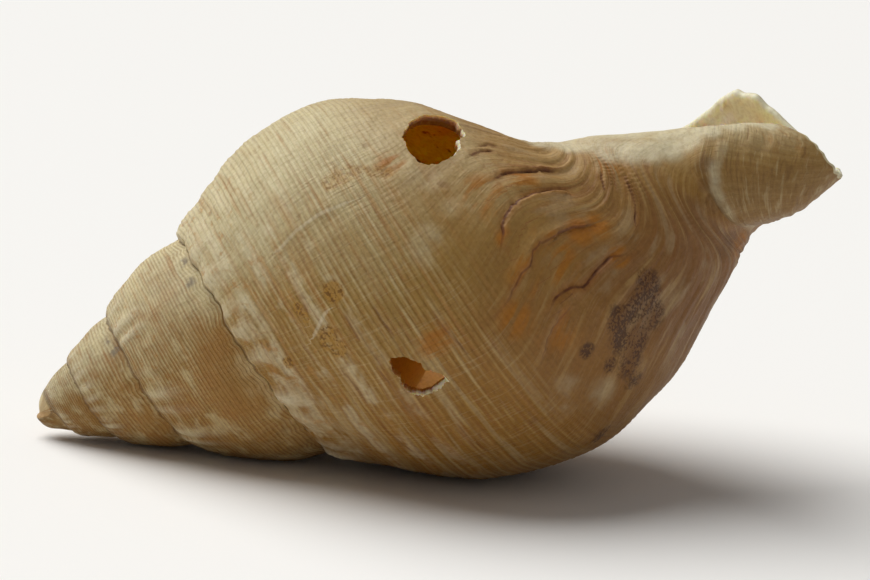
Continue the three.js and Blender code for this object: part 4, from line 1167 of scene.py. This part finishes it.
bsdf.inputs["IOR"].default_value = 1.5
bsdf.inputs["Specular IOR Level"].default_value = 0.35
N.put(bsdf.inputs["Subsurface Weight"], N.ramp(N.m("MAXIMUM", depth, cut), 0.3, 1.3, 0.06, 0.9))
bsdf.inputs["Subsurface Radius"].default_value = (1.0, 0.78, 0.16)
bsdf.inputs["Subsurface Scale"].default_value = 0.0015
N.t.links.new(bump.outputs[0], bsdf.inputs["Normal"])
out = N.new("ShaderNodeOutputMaterial")
N.t.links.new(bsdf.outputs[0], out.inputs[0])
me.materials.clear()
me.materials.append(mat)

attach(shell, "root")
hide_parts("shell")

# ------------------------------------------------------------------ floor, light, camera
fm = bpy.data.materials.new("floor")
F = Nodes(fm)
fb = F.new("ShaderNodeBsdfPrincipled")
fb.inputs["Roughness"].default_value = 0.9
fb.inputs["Base Color"].default_value = (0.92, 0.92, 0.92, 1)
fo = F.new("ShaderNodeOutputMaterial")
# the floor's lower face lets the camera through, so that the underside can be looked at
ft = F.new("ShaderNodeBsdfTransparent")
fx = F.new("ShaderNodeMixShader")
F.t.links.new(F.new("ShaderNodeNewGeometry").outputs["Backfacing"], fx.inputs[0])
F.t.links.new(fb.outputs[0], fx.inputs[1])
F.t.links.new(ft.outputs[0], fx.inputs[2])
F.t.links.new(fx.outputs[0], fo.inputs[0])
fme = bpy.data.meshes.new("floor")
fme.from_pydata([(-40, -40, 0), (40, -40, 0), (40, 40, 0), (-40, 40, 0)], [], [(0, 1, 2, 3)])
floor = bpy.data.objects.new("floor", fme)
floor.location.z = -0.00002
fme.materials.append(fm)
bpy.context.scene.collection.objects.link(floor)

scene = bpy.context.scene
scene.view_settings.view_transform = "Standard"
wd = bpy.data.worlds.new("studio")
scene.world = wd
WN = Nodes(wd)
bg = WN.new("ShaderNodeBackground")
bg.inputs[0].default_value = (1.0, 0.985, 0.955, 1)
bg.inputs[1].default_value = 0.19
wo = WN.new("ShaderNodeOutputWorld")
WN.t.links.new(bg.outputs[0], wo.inputs[0])


def sun(name, towards, energy, angle, colour):
    li = bpy.data.lights.new(name, "SUN")
    li.energy, li.angle, li.color = energy, angle, colour
    ob = bpy.data.objects.new(name, li)
    ob.rotation_mode = "QUATERNION"
    ob.rotation_quaternion = Vector(towards).to_track_quat("Z", "Y")
    scene.collection.objects.link(ob)


sun("key", (-0.47, 0.26, 0.84), 3.1, 1.1, (1.0, 0.985, 0.95))

cam = bpy.data.cameras.new("camera")
cam.lens, cam.sensor_width, cam.shift_x, cam.shift_y = 115.86, 36.0, 0.0172, -0.0321
cam.clip_start, cam.clip_end = 0.01, 100.0
co = bpy.data.objects.new("camera", cam)
axes = (ROT @ VIEW.T)                       # columns: right, up, towards the camera, in the row frame
place_ = world(VIEW.T @ np.array([0, 0, 2800.0]) + np.array([420.0, 0, 0]))
mw = np.eye(4)
mw[:3, :3], mw[:3, 3] = axes, place_
co.matrix_world = Matrix(mw.tolist())
scene.collection.objects.link(co)
scene.camera = co
